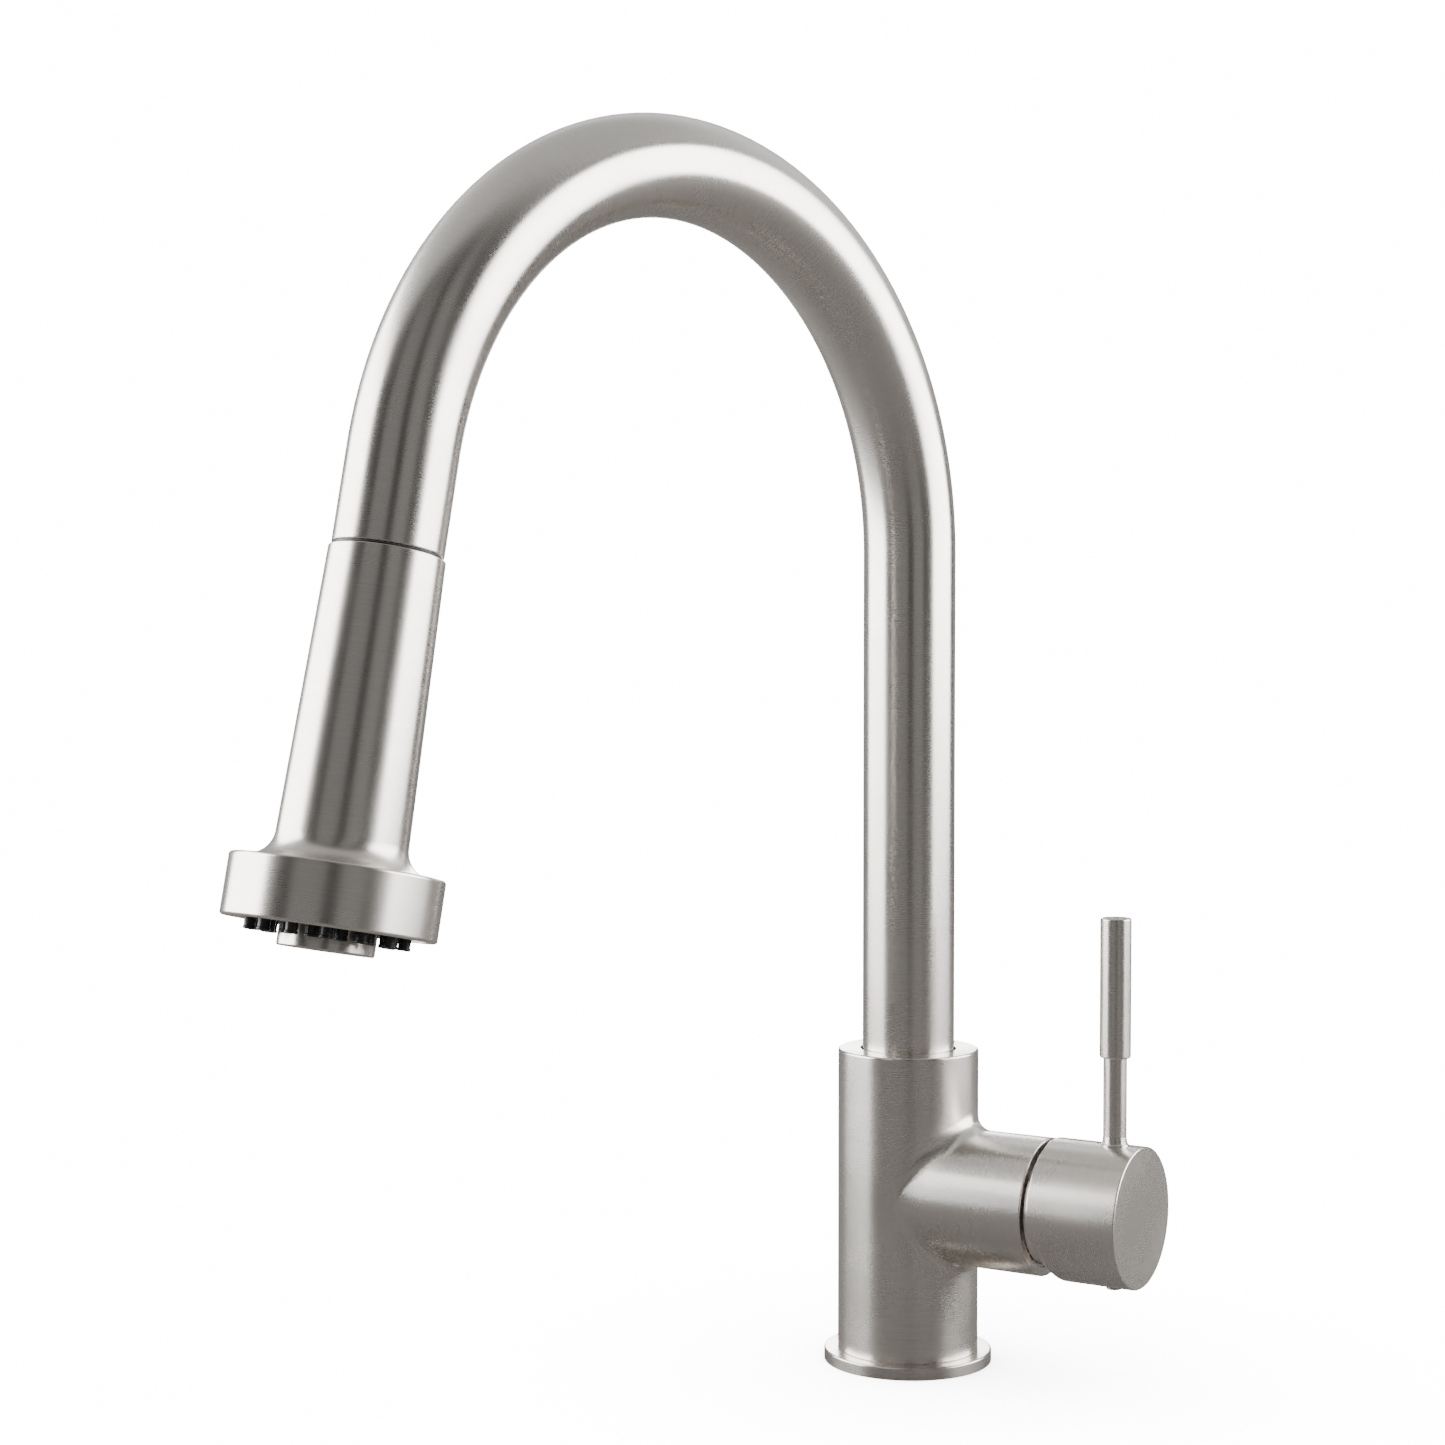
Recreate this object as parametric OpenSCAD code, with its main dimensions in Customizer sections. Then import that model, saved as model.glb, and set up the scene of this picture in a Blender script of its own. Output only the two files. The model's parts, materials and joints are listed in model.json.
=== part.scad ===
// Pull-down kitchen faucet with a gooseneck spout, a side valve and a pin lever.
// Millimetres. Z is up, the origin is the centre of the shank socket in the deck plane,
// +X runs along the valve housing and the spout leans over the sink towards -Y.

/* [Spout tube] */
// Outer diameter of the spout tube
tube_d = 30; // [28:0.5:32]
// Wall thickness of the spout tube
tube_wall = 1.5; // [1.2:0.1:2]
// Height at which the bend starts
arc_z = 265; // [230:5:320]
// Radius of the bend along the middle of the tube
arc_r = 111; // [100:1:125]
// Angle that the tube bends through
arc_angle = 168; // [160:1:175]
// Straight length after the bend, down to the spray head
end_straight = 27; // [24:1:36]
// Swivel of the spout away from -Y, as it stands at rest
spout_turn = -10; // [-30:0.5:30]

/* [Body] */
// Diameter of the body
body_d = 46; // [45:0.5:50]
// Height of the body's flat top above the deck
body_top = 103; // [101:0.5:112]
// Diameter of the base flange
flange_d = 55; // [53:1:60]
// Thickness of the base flange
flange_h = 4; // [3:0.5:6]
// Radius of the threaded socket for the mounting shank
shank_r = 16.5; // [16:0.5:17]
// Depth of the shank socket
shank_depth = 12; // [10:1:14]

/* [Valve housing] */
// Height of the valve axis above the deck
housing_z = 56; // [54:0.5:58]
// Diameter of the valve housing
housing_d = 44; // [43:0.5:45]
// Distance from the body's axis to the end of the housing
housing_end = 50.6; // [50:0.2:52]

/* [Handle] */
// Diameter of the handle cap
cap_d = 44.8; // [44:0.2:46]
// Start of the handle cap, measured from the body's axis
cap_start = 52.8; // [52.6:0.2:54]
// Outer end of the handle cap, measured from the body's axis
cap_end = 82.5; // [82:0.5:90]
// Distance from the body's axis to the lever
lever_x = 73.2; // [72:0.2:74]
// Diameter of the lever's stem
lever_stem_d = 7.4; // [7:0.2:8]
// Diameter of the lever's grip
lever_grip_d = 9.8; // [9:0.2:12]
// Height of the lower end of the grip above the deck
grip_z = 106; // [100:1:112]
// Height of the top of the grip above the deck
grip_top = 150; // [140:0.5:160]
// Largest tilt of the lever, which opens the flow
tilt_max = 20; // [15:1:20]

/* [Spray head] */
// Radius at the top of the spray head
head_top_r = 15.6; // [15.4:0.1:16]
// Radius of the spray head just above its fillet
head_low_r = 17.6; // [17.4:0.1:18.5]
// Length from the end of the spout to the top of the spray disc
head_len = 84; // [83:0.2:84.8]
// Radius of the spray disc
disc_r = 28.3; // [27.5:0.1:30]
// Height of the spray disc
disc_h = 16.6; // [15:0.1:17]
// Radius of the concave fillet between the head and its disc
head_fillet = 7; // [6:0.5:7]
// Radius of the aerator collar
collar_r = 12.8; // [12:0.1:12.8]
// How far the aerator collar stands out of the disc
collar_out = 5.7; // [4:0.1:6]
// Travel of the aerator collar when it is pressed to change the spray
push_travel = 3; // [2:0.5:3]
// Number of nozzles in each of the two rings
nozzle_count = 14; // [10:1:16]

/* [Hidden] */
$fn = 96;
eps = 0.01;
steel = [0.68, 0.66, 0.64];
brass = [0.80, 0.68, 0.40];
plastic = [0.85, 0.85, 0.82];
black = [0.10, 0.10, 0.10];

tube_r = tube_d / 2;
tube_in = tube_r - tube_wall;
body_r = body_d / 2;
flange_r = flange_d / 2;
housing_r = housing_d / 2;
cap_r = cap_d / 2;

// The body's spigot, which passes down through the flange
foot_r = 19.4;
// Bore that the spout's spigot turns in, and its floor
spout_bore_r = 15.5;
spout_floor = 66;
seam_r = 15.6;
seam_z = body_top - 4;
// Passage for the spray hose down the middle of the body
hose_way_r = 7;
// Ports in the ceiling of the shank socket, on one circle around the hose
port_ring = 12.1;
port_tap_r = 3.9;
port_tap_len = 8;
port_way_r = 3;
port_side = port_ring * sin(45);
inlet_z = housing_z + 3;
outlet_z = housing_z - 9;
// Screw at the back of the body that holds the spout
retain_z = 74;
retain_r = 2.5;
// Spigot soldered into the lower end of the spout tube
end_step = 0.02;
spigot_r = spout_bore_r - 0.05;
spigot_z0 = 68;
spigot_z1 = 97;
spigot_top = 112;
spigot_bore = 9.5;
groove_r = 13.2;
bearing_groove_r = 14.2;
retain_groove_r = 13;

// Valve cartridge, measured along the housing from the body's axis
seat_x = 22;
cartridge_r = 17.5;
cartridge_bore_r = 17.6;
base_x1 = 26;
fixed_x1 = 29.5;
moving_x0 = 29.8;
moving_x1 = 32.8;
carrier_x1 = 36.8;
shell_shoulder = 43.5;
shell_end = 50;
shell_in = 15.5;
neck_r = 13.5;
neck_in = 10.5;
neck_x0 = 41.5;
nut_r = 18.95;
nut_bore_r = 19;
pivot_x = 42;
pin_r = 1.5;
ball_arm = 6.8;
ball_r = 2;
stem_half = 3.5;
stem_end = 77.5;
dome_r = 19.9;
dome_open = 12;
cavity_r = 20.4;
cavity_end = 62.3;

// Parts of the spray head, measured down its axis from the end of the spout tube
lip_h = 0.5;
head_gap = 0.9;
disc_z1 = head_len + disc_h;
shell_wall = 1.5;
fillet_z = head_len - head_fillet;
plate_z0 = disc_z1 - 3;
plate_z1 = disc_z1 - 1;
mat_z0 = plate_z0 - 1.8;
nozzle_r = 1.65;
nozzle_end = disc_z1 + 2.7;
nozzle_bore = 0.6;
outer_ring = 20.4;
inner_ring = 16.6;
hose_r = 6;
hose_in = 4;
hose_end_z = -16.9;
ferrule_z0 = -32.5;
ferrule_z1 = -16.5;
hose_bottom = shank_depth + 3.3;
core_r = 13.9;
swivel_r = 6.98;
swivel_bore = 7.05;
chamber_r = 9.2;
spring_z0 = 60.6;
spring_z1 = 69.2;
spool_z0 = 69.5;
spool_z1 = 90;
// Pocket in the head core that the collar is pressed up into
pocket_z = 83;
collar_z0 = pocket_z + push_travel + 1;
collar_z1 = disc_z1 + collar_out;

// A ring or tube between two heights
module ring(r_out, r_in, z0, z1) {
    translate([0, 0, z0])
        difference() {
            cylinder(r = r_out, h = z1 - z0);
            translate([0, 0, -1]) cylinder(r = r_in, h = z1 - z0 + 2);
        }
}

// A plain round bar between two heights
module bar(r, z0, z1) {
    translate([0, 0, z0]) cylinder(r = r, h = z1 - z0);
}

// A round seal: section radius s on a circle of radius r at height z
module seal(r, s, z) {
    translate([0, 0, z]) rotate_extrude() translate([r, 0]) circle(r = s, $fn = 32);
}

// Children modelled along +Z are laid along the housing's axis
module on_housing() {
    translate([0, 0, housing_z]) rotate([0, 90, 0]) children();
}

// Children modelled in the spout's own plane are turned to where it stands at rest
module on_spout() {
    rotate([0, 0, spout_turn]) children();
}

// Children modelled along +Z run on down the spray head from the end of the spout tube
module on_spout_end() {
    on_spout()
        translate([0, arc_r * (cos(arc_angle) - 1), arc_z + arc_r * sin(arc_angle)])
            rotate([arc_angle, 0, 0])
                translate([0, 0, end_straight])
                    children();
}

// A round rod or tube that follows the gooseneck from height z0 to length z1 past its end.
// The straight end is turned a hair thinner, and starts inside the bend, so that the two join.
module gooseneck(r_out, r_in, z0, z1) {
    on_spout() ring(r_out, r_in, z0, arc_z);
    on_spout()
        translate([0, -arc_r, arc_z])
            rotate([90, 0, 90])
                rotate_extrude(angle = arc_angle)
                    translate([arc_r, 0])
                        difference() {
                            circle(r = r_out);
                            circle(r = r_in);
                        }
    on_spout_end() ring(r_out - end_step, r_in + end_step, -end_straight - 0.3, z1);
}

// A place on the circle of ports, hot at the back and cold at the front
module at_port(x, y) {
    translate([x, y, 0]) children();
}

// Three holes along the housing that carry the water in and out of the valve
module water_ways(r, x0, x1) {
    for (side = [-1, 1])
        translate([x0, side * port_side, inlet_z]) rotate([0, 90, 0]) cylinder(r = r, h = x1 - x0);
    translate([x0, 0, outlet_z]) rotate([0, 90, 0]) cylinder(r = r, h = x1 - x0);
}

// The nozzles' places: two staggered rings
module at_nozzles() {
    step = 360 / nozzle_count;
    for (i = [0 : nozzle_count - 1]) {
        rotate([0, 0, i * step]) translate([outer_ring, 0, 0]) children();
        rotate([0, 0, (i + 0.5) * step]) translate([inner_ring, 0, 0]) children();
    }
}

// A compression spring: a round wire swept along a helix, closed at both ends
module coil(radius, wire_r, z0, z1, turns) {
    sides = 8;
    steps = turns * 16;
    points = [
        for (i = [0 : steps], j = [0 : sides - 1])
            let (
                a = 360 * turns * i / steps,
                b = 360 * j / sides,
                reach = radius + wire_r * cos(b)
            )
            [reach * cos(a), reach * sin(a), z0 + wire_r + (z1 - z0 - 2 * wire_r) * i / steps + wire_r * sin(b)]
    ];
    skin = [
        for (i = [0 : steps - 1], j = [0 : sides - 1])
            [
                i * sides + j,
                i * sides + (j + 1) % sides,
                (i + 1) * sides + (j + 1) % sides,
                (i + 1) * sides + j
            ]
    ];
    first = [[for (j = [sides - 1 : -1 : 0]) j]];
    last = [[for (j = [0 : sides - 1]) steps * sides + j]];
    polyhedron(points = points, faces = concat(skin, first, last), convexity = 10);
}

module base_flange() {
    color(steel)
        difference() {
            ring(flange_r, foot_r + 0.05, 0, flange_h);
            ring(flange_r - 1.6, foot_r, -1, 1.8);
        }
}

module base_gasket() {
    color(black) ring(flange_r - 1.65, foot_r + 0.1, 0, 1.8);
}

module valve_body() {
    color(steel)
        difference() {
            union() {
                bar(foot_r, 0, flange_h + 1);
                bar(body_r, flange_h, body_top);
                on_housing() bar(housing_r, 0, housing_end);
            }
            bar(shank_r, -1, shank_depth);
            bar(hose_way_r, shank_depth - 1, spout_floor + 1);
            bar(spout_bore_r, spout_floor, body_top);
            bar(seam_r, seam_z, body_top + 1);
            for (side = [-1, 1]) {
                at_port(port_side, side * port_side) bar(port_tap_r, shank_depth - 1, shank_depth + port_tap_len);
                at_port(port_side, side * port_side) bar(port_way_r, shank_depth, inlet_z);
                translate([port_side, side * port_side, inlet_z]) sphere(r = port_way_r);
            }
            at_port(port_ring, 0) bar(port_tap_r, shank_depth - 1, shank_depth + port_tap_len);
            at_port(port_ring, 0) bar(port_way_r, shank_depth, outlet_z);
            translate([port_ring, 0, outlet_z]) sphere(r = port_way_r);
            translate([port_side, 0, 0]) intersection() {
                water_ways(port_way_r, 0, seat_x);
                translate([0, -20, inlet_z - 5]) cube([40, 40, 20]);
            }
            translate([port_ring, 0, 0]) intersection() {
                water_ways(port_way_r, 0, seat_x);
                translate([0, -20, outlet_z - 5]) cube([40, 40, 9]);
            }
            on_housing() bar(cartridge_bore_r, seat_x, housing_end + 1);
            on_housing() bar(nut_bore_r, shell_shoulder - 0.5, housing_end + 1);
            translate([0, spout_bore_r - 1, retain_z]) rotate([-90, 0, 0]) cylinder(r = retain_r, h = 12);
        }
}

module spout_retaining_screw() {
    tip_y = retain_groove_r + 0.5;
    color(steel)
        translate([0, tip_y, retain_z])
            rotate([-90, 0, 0])
                difference() {
                    union() {
                        bar(retain_r - 0.5, 0, 2.5);
                        bar(retain_r, 2.2, body_r - tip_y - 0.4);
                    }
                    translate([0, 0, body_r - tip_y - 3.4]) cylinder(r = 1.45, h = 4, $fn = 6);
                }
}

module cartridge_seals() {
    color(black) intersection() {
        difference() {
            water_ways(4.6, seat_x, seat_x + 1.2);
            water_ways(port_way_r + 0.2, seat_x - 1, seat_x + 3);
        }
        on_housing() bar(cartridge_r, 0, shell_end);
    }
}

module cartridge_base() {
    color(plastic)
        difference() {
            on_housing() bar(cartridge_r, seat_x, base_x1);
            water_ways(4.7, seat_x - 1, seat_x + 1.2);
            water_ways(port_way_r, seat_x, base_x1 + 1);
        }
}

module fixed_ceramic_disc() {
    color([0.95, 0.94, 0.90])
        difference() {
            on_housing() bar(15.3, base_x1, fixed_x1);
            water_ways(port_way_r - 0.5, base_x1 - 1, fixed_x1 + 1);
        }
}

module cartridge_shell() {
    color(plastic)
        on_housing()
            difference() {
                union() {
                    bar(cartridge_r, base_x1, shell_shoulder);
                    bar(neck_r, shell_shoulder - 1, shell_end);
                }
                bar(shell_in, base_x1 - 1, neck_x0);
                bar(neck_in, neck_x0 - 1, shell_end + 1);
            }
}

module retaining_nut() {
    color(steel)
        on_housing()
            difference() {
                ring(nut_r, neck_r + 0.1, shell_shoulder, shell_end);
                for (turn = [0 : 60 : 300])
                    rotate([0, 0, turn]) translate([nut_r - 1.5, -1.5, shell_end - 3]) cube([3, 3, 4]);
            }
}

// Part of a sphere about the lever's pivot, so that the cap can tilt around it
module bonnet_dome() {
    color(steel)
        on_housing()
            intersection() {
                translate([0, 0, pivot_x])
                    difference() {
                        sphere(r = dome_r);
                        sphere(r = dome_r - 1.4);
                    }
                ring(cavity_r, dome_open, shell_end + 0.2, cavity_end);
            }
}

module rotor_guide() {
    color(plastic)
        difference() {
            on_housing() union() {
                bar(shell_in - 0.3, neck_x0 - 4.2, neck_x0 - 0.3);
                bar(neck_in - 0.08, neck_x0 - 1, shell_end - 0.5);
            }
            translate([30, -stem_half - 0.2, housing_z - 6.9]) cube([30, 2 * stem_half + 0.4, 12]);
            translate([pivot_x, -12, housing_z]) rotate([-90, 0, 0]) cylinder(r = pin_r, h = 24);
        }
}

module pivot_pin() {
    color(steel) translate([pivot_x, -9.5, housing_z]) rotate([-90, 0, 0]) cylinder(r = pin_r, h = 19);
}

module moving_ceramic_disc() {
    color([0.95, 0.94, 0.90])
        on_housing()
            difference() {
                bar(10.5, moving_x0, moving_x1);
                bar(7.5, moving_x0 - 1, moving_x0 + 1.6);
            }
}

module disc_carrier() {
    color([0.30, 0.30, 0.32])
        difference() {
            on_housing() bar(12, moving_x1, carrier_x1);
            translate([moving_x1 - 1, -ball_r - 0.3, housing_z - ball_r - 0.3])
                cube([6, 2 * ball_r + 0.6, 2 * ball_r + 0.6]);
        }
}

module cartridge_stem() {
    color(steel)
        difference() {
            union() {
                translate([pivot_x - 3, -stem_half, housing_z - stem_half])
                    cube([stem_end - pivot_x + 3, 2 * stem_half, 2 * stem_half]);
                translate([pivot_x - ball_arm, 0, housing_z]) sphere(r = ball_r);
                on_housing() bar(1.5, pivot_x - ball_arm, pivot_x);
            }
            translate([pivot_x, -12, housing_z]) rotate([-90, 0, 0]) cylinder(r = pin_r + 0.05, h = 24);
        }
}

// The relief is the half-space behind the housing's end face when the lever is fully open
module handle_cap() {
    color(steel)
        difference() {
            on_housing() union() {
                bar(cap_r, cap_start, cap_end - 0.5);
                translate([0, 0, cap_end - 0.5 - eps]) cylinder(r1 = cap_r, r2 = cap_r - 0.5, h = 0.5 + eps);
            }
            on_housing() bar(cavity_r, cap_start - 1, cavity_end);
            translate([pivot_x, 0, housing_z])
                rotate([0, -tilt_max, 0])
                    translate([housing_end - pivot_x + 0.4 - 60, -40, -80])
                        cube([60, 80, 80]);
            translate([cavity_end - 1, -stem_half - 0.05, housing_z - stem_half - 0.05])
                cube([stem_end - cavity_end + 1.5, 2 * stem_half + 0.1, 2 * stem_half + 0.1]);
            translate([lever_x, 0, 0]) bar(3, housing_z + 7, housing_z + cap_r + 1);
            translate([lever_x, 0, 0]) bar(lever_stem_d / 2 + 0.8, housing_z + cap_r - 0.8, housing_z + cap_r + 1);
            translate([lever_x, 0, 0]) bar(2.5, housing_z - cap_r - 1, housing_z - stem_half);
        }
}

module handle_set_screw() {
    color(steel)
        translate([lever_x, 0, 0])
            difference() {
                bar(2.5, housing_z - cap_r - 1, housing_z - stem_half - 0.1);
                translate([0, 0, housing_z - cap_r - 1.5]) cylinder(r = 1.45, h = 4, $fn = 6);
            }
}

module lever_stem() {
    foot_z = housing_z + cap_r - 0.8;
    stem_r = lever_stem_d / 2;
    color(steel)
        translate([lever_x, 0, 0]) {
            bar(3, housing_z + 8, foot_z + 1);
            bar(stem_r + 0.7, foot_z, foot_z + 1.3);
            translate([0, 0, foot_z + 1.3 - eps]) cylinder(r1 = stem_r + 0.7, r2 = stem_r, h = 1.2 + eps);
            bar(stem_r, foot_z + 2, grip_z);
            bar(2.5, grip_z - 1, grip_z + 16);
        }
}

module lever_grip() {
    grip_r = lever_grip_d / 2;
    bevel = 0.6;
    color(steel)
        translate([lever_x, 0, 0])
            difference() {
                union() {
                    translate([0, 0, grip_z]) cylinder(r1 = grip_r - bevel, r2 = grip_r, h = bevel + eps);
                    bar(grip_r, grip_z + bevel, grip_top - bevel);
                    translate([0, 0, grip_top - bevel - eps])
                        cylinder(r1 = grip_r, r2 = grip_r - bevel, h = bevel + eps);
                }
                bar(2.5, grip_z - 1, grip_z + 16.5);
            }
}

module spout_tube() {
    color(steel) gooseneck(tube_r, tube_in, spigot_z1, 0);
}

module spout_spigot() {
    color(brass)
        on_spout()
            difference() {
                union() {
                    bar(spigot_r, spigot_z0, spigot_z1);
                    bar(tube_in, spigot_z1 - 1, spigot_top);
                }
                bar(spigot_bore, spigot_z0 - 1, spigot_top + 1);
                ring(spigot_r + 1, retain_groove_r, retain_z - 2.5, retain_z + 2.5);
                ring(spigot_r + 1, groove_r, 79.5, 82.5);
                ring(spigot_r + 1, groove_r, 85, 88);
                ring(spigot_r + 1, bearing_groove_r, 90.5, 94.5);
            }
}

module spout_o_rings() {
    color(black) on_spout() for (z = [81, 86.5]) seal(groove_r + 1.1, 1.1, z);
}

module spout_bearing_ring() {
    color(plastic)
        on_spout()
            difference() {
                ring(spigot_r, bearing_groove_r, 90.5, 94.5);
                rotate([0, 0, 90]) translate([10, -1, 90]) cube([8, 2, 5]);
            }
}

module docking_collar() {
    color(black)
        on_spout_end()
            rotate_extrude()
                polygon([
                    [9, -24], [tube_in - 0.05, -24], [tube_in - 0.05, 0], [tube_r - 0.6, 0],
                    [tube_r - 0.6, lip_h], [12.2, lip_h], [11.3, -16], [9, -18]
                ]);
}

module spray_hose() {
    color([0.62, 0.62, 0.64]) gooseneck(hose_r, hose_in, hose_bottom, hose_end_z);
}

module hose_tail_ferrule() {
    color(steel)
        on_spout() {
            ring(hose_way_r - 0.2, hose_r, hose_bottom, hose_bottom + 14);
            ring(5, 2.5, shank_depth + 0.3, hose_bottom);
            ring(hose_in, 2.5, hose_bottom - 1, hose_bottom + 12);
            ring(hose_way_r - 0.2, 2.5, hose_bottom - 2, hose_bottom);
        }
}

module hose_head_ferrule() {
    color(steel) on_spout_end() ring(7.6, hose_r + 0.4, ferrule_z0, ferrule_z1);
}

module swivel_connector() {
    color(brass)
        on_spout_end()
            difference() {
                union() {
                    bar(hose_in - 0.4, ferrule_z0 + 1.5, ferrule_z1 + 0.5);
                    bar(8.4, ferrule_z1, -15.4);
                    bar(swivel_r, -16, 10);
                }
                bar(2.4, ferrule_z0, 11);
                ring(swivel_r + 1, 5.6, -6, -3.6);
                ring(swivel_r + 1, 6, 8.5, 9.6);
            }
}

module swivel_o_ring() {
    color(black) on_spout_end() seal(6.25, 0.65, -4.8);
}

module swivel_clip() {
    color(steel)
        on_spout_end()
            difference() {
                ring(8.4, 6, 8.5, 9.6);
                translate([5, -1.5, 8]) cube([5, 3, 2.5]);
            }
}

module head_shell() {
    edge = 0.8;
    rim_in = disc_r - shell_wall;
    fillet_x = head_low_r + head_fillet;
    color(steel)
        on_spout_end()
            difference() {
                union() {
                    rotate_extrude()
                        polygon([
                            [0, head_gap], [head_top_r - 0.3, head_gap], [head_top_r, head_gap + 0.3],
                            [head_low_r, fillet_z], [head_low_r, head_len + 1], [0, head_len + 1]
                        ]);
                    rotate_extrude()
                        difference() {
                            translate([0, fillet_z]) square([fillet_x, head_fillet + 1]);
                            translate([fillet_x, fillet_z]) circle(r = head_fillet);
                        }
                    bar(disc_r - edge, head_len, disc_z1);
                    bar(disc_r, head_len + edge, disc_z1 - edge);
                    seal(disc_r - edge, edge, head_len + edge);
                    seal(disc_r - edge, edge, disc_z1 - edge);
                }
                bar(head_top_r - shell_wall, head_gap - 1, head_len);
                translate([0, 0, fillet_z - 4]) cylinder(r1 = 14.1, r2 = 16, h = 4 + eps);
                bar(16, fillet_z, head_len + 3);
                bar(rim_in, head_len + shell_wall, disc_z1 + 1);
            }
}

module head_core() {
    color(plastic)
        on_spout_end()
            difference() {
                union() {
                    translate([0, 0, -15]) cylinder(r1 = 10.9, r2 = 11.8, h = 15);
                    bar(11.8, -eps, 4);
                    bar(core_r, 3, 80);
                    bar(15.9, 79, 87);
                    bar(disc_r - shell_wall - 0.1, 86.4, 89);
                }
                bar(swivel_bore, -16, 8.1);
                bar(chamber_r, 8, 22);
                bar(6, 20, 41);
                bar(8.5, 40, 52.2);
                bar(6.5, 51, 61);
                bar(chamber_r, 60.4, 84);
                bar(collar_r + 0.5, pocket_z, 90);
                for (turn = [0 : 60 : 300]) rotate([0, 0, turn]) translate([11.4, 0, 0]) bar(1.2, 72, 84);
                for (turn = [0 : 60 : 300])
                    rotate([0, 0, turn]) translate([chamber_r - 1, 0, 73.2]) rotate([0, 90, 0]) cylinder(r = 1.2, h = 3.2);
            }
}

module check_valve() {
    color([0.25, 0.45, 0.75])
        on_spout_end()
            difference() {
                bar(8.45, 40.1, 52);
                bar(5, 39, 48);
                for (turn = [0 : 90 : 270]) rotate([0, 0, turn]) translate([4.2, 0, 0]) bar(1.6, 47, 53);
            }
}

module nozzle_mat() {
    color(black)
        on_spout_end()
            difference() {
                union() {
                    ring(24.5, collar_r + 0.8, mat_z0, plate_z0);
                    at_nozzles() bar(nozzle_r, mat_z0, nozzle_end);
                }
                at_nozzles() bar(nozzle_bore, mat_z0 - 1, nozzle_end + 1);
            }
}

module face_plate() {
    color(steel)
        on_spout_end()
            difference() {
                ring(disc_r - shell_wall - 0.05, collar_r + 0.4, plate_z0, plate_z1);
                at_nozzles() bar(nozzle_r, plate_z0 - 1, plate_z1 + 1);
            }
}

module diverter_spring() {
    color(steel) on_spout_end() coil(7.4, 0.6, spring_z0, spring_z1, 5);
}

module diverter_spool() {
    color([0.20, 0.20, 0.22])
        on_spout_end()
            difference() {
                union() {
                    bar(chamber_r - 0.08, spool_z0, spool_z0 + 3);
                    bar(6.5, spool_z0 + 2, 81);
                    bar(chamber_r - 0.08, 79, 82.5);
                    bar(8, 80, spool_z1);
                }
                bar(4, spool_z0 - 1, spool_z1 + 1);
            }
}

module aerator_collar() {
    color(steel)
        on_spout_end()
            difference() {
                union() {
                    bar(collar_r, collar_z0, collar_z1 - 0.6);
                    translate([0, 0, collar_z1 - 0.6 - eps])
                        cylinder(r1 = collar_r, r2 = collar_r - 0.6, h = 0.6 + eps);
                }
                bar(8, collar_z0 - 1, spool_z1 + 0.2);
                bar(7, spool_z1, spool_z1 + 3);
                bar(collar_r - 1.6, spool_z1 + 2, collar_z1 + 1);
            }
}

module aerator_insert() {
    color([0.30, 0.31, 0.33])
        on_spout_end()
            difference() {
                bar(collar_r - 1.65, spool_z1 + 2.2, collar_z1 - 1.2);
                for (ring_r = [2.6, 5.2, 7.8])
                    for (i = [0 : ring_r * 3])
                        rotate([0, 0, i * 360 / (floor(ring_r * 3) + 1)])
                            translate([ring_r, 0, 0])
                                bar(0.7, spool_z1 + 1, collar_z1);
            }
}

base_flange();
base_gasket();
valve_body();
spout_retaining_screw();
cartridge_seals();
cartridge_base();
fixed_ceramic_disc();
cartridge_shell();
retaining_nut();
bonnet_dome();
rotor_guide();
pivot_pin();
moving_ceramic_disc();
disc_carrier();
cartridge_stem();
handle_cap();
handle_set_screw();
lever_stem();
lever_grip();
spout_tube();
spout_spigot();
spout_o_rings();
spout_bearing_ring();
docking_collar();
spray_hose();
hose_tail_ferrule();
hose_head_ferrule();
swivel_connector();
swivel_o_ring();
swivel_clip();
head_shell();
head_core();
check_valve();
nozzle_mat();
face_plate();
diverter_spring();
diverter_spool();
aerator_collar();
aerator_insert();
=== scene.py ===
import json
import math

import bmesh
import bpy
import numpy as np
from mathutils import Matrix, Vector


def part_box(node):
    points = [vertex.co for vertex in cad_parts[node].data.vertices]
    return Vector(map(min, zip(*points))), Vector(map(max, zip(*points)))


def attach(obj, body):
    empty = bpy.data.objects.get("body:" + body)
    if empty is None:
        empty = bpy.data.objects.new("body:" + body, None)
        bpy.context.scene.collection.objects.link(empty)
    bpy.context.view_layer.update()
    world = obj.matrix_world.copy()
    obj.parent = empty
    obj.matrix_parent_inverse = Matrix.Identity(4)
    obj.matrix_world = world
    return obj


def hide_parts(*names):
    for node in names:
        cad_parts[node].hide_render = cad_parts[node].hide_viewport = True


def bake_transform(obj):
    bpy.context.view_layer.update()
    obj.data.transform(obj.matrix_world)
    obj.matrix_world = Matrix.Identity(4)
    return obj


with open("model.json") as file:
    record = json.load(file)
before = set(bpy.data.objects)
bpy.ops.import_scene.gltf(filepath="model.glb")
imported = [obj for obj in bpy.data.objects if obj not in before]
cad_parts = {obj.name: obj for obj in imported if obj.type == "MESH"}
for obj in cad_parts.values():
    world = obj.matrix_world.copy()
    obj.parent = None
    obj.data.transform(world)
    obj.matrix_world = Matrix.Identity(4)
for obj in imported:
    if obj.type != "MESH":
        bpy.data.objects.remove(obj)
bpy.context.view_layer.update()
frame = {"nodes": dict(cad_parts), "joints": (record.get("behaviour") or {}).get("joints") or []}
mm = 0.001
joints = {j["name"]: j for j in frame["joints"]}
print("frame loaded")


# A vector divided by its own length, along the last axis of an array
def unit(v):
    v = np.asarray(v, float)
    return v / np.maximum(np.linalg.norm(v, axis=-1, keepdims=True), 1e-12)


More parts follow.
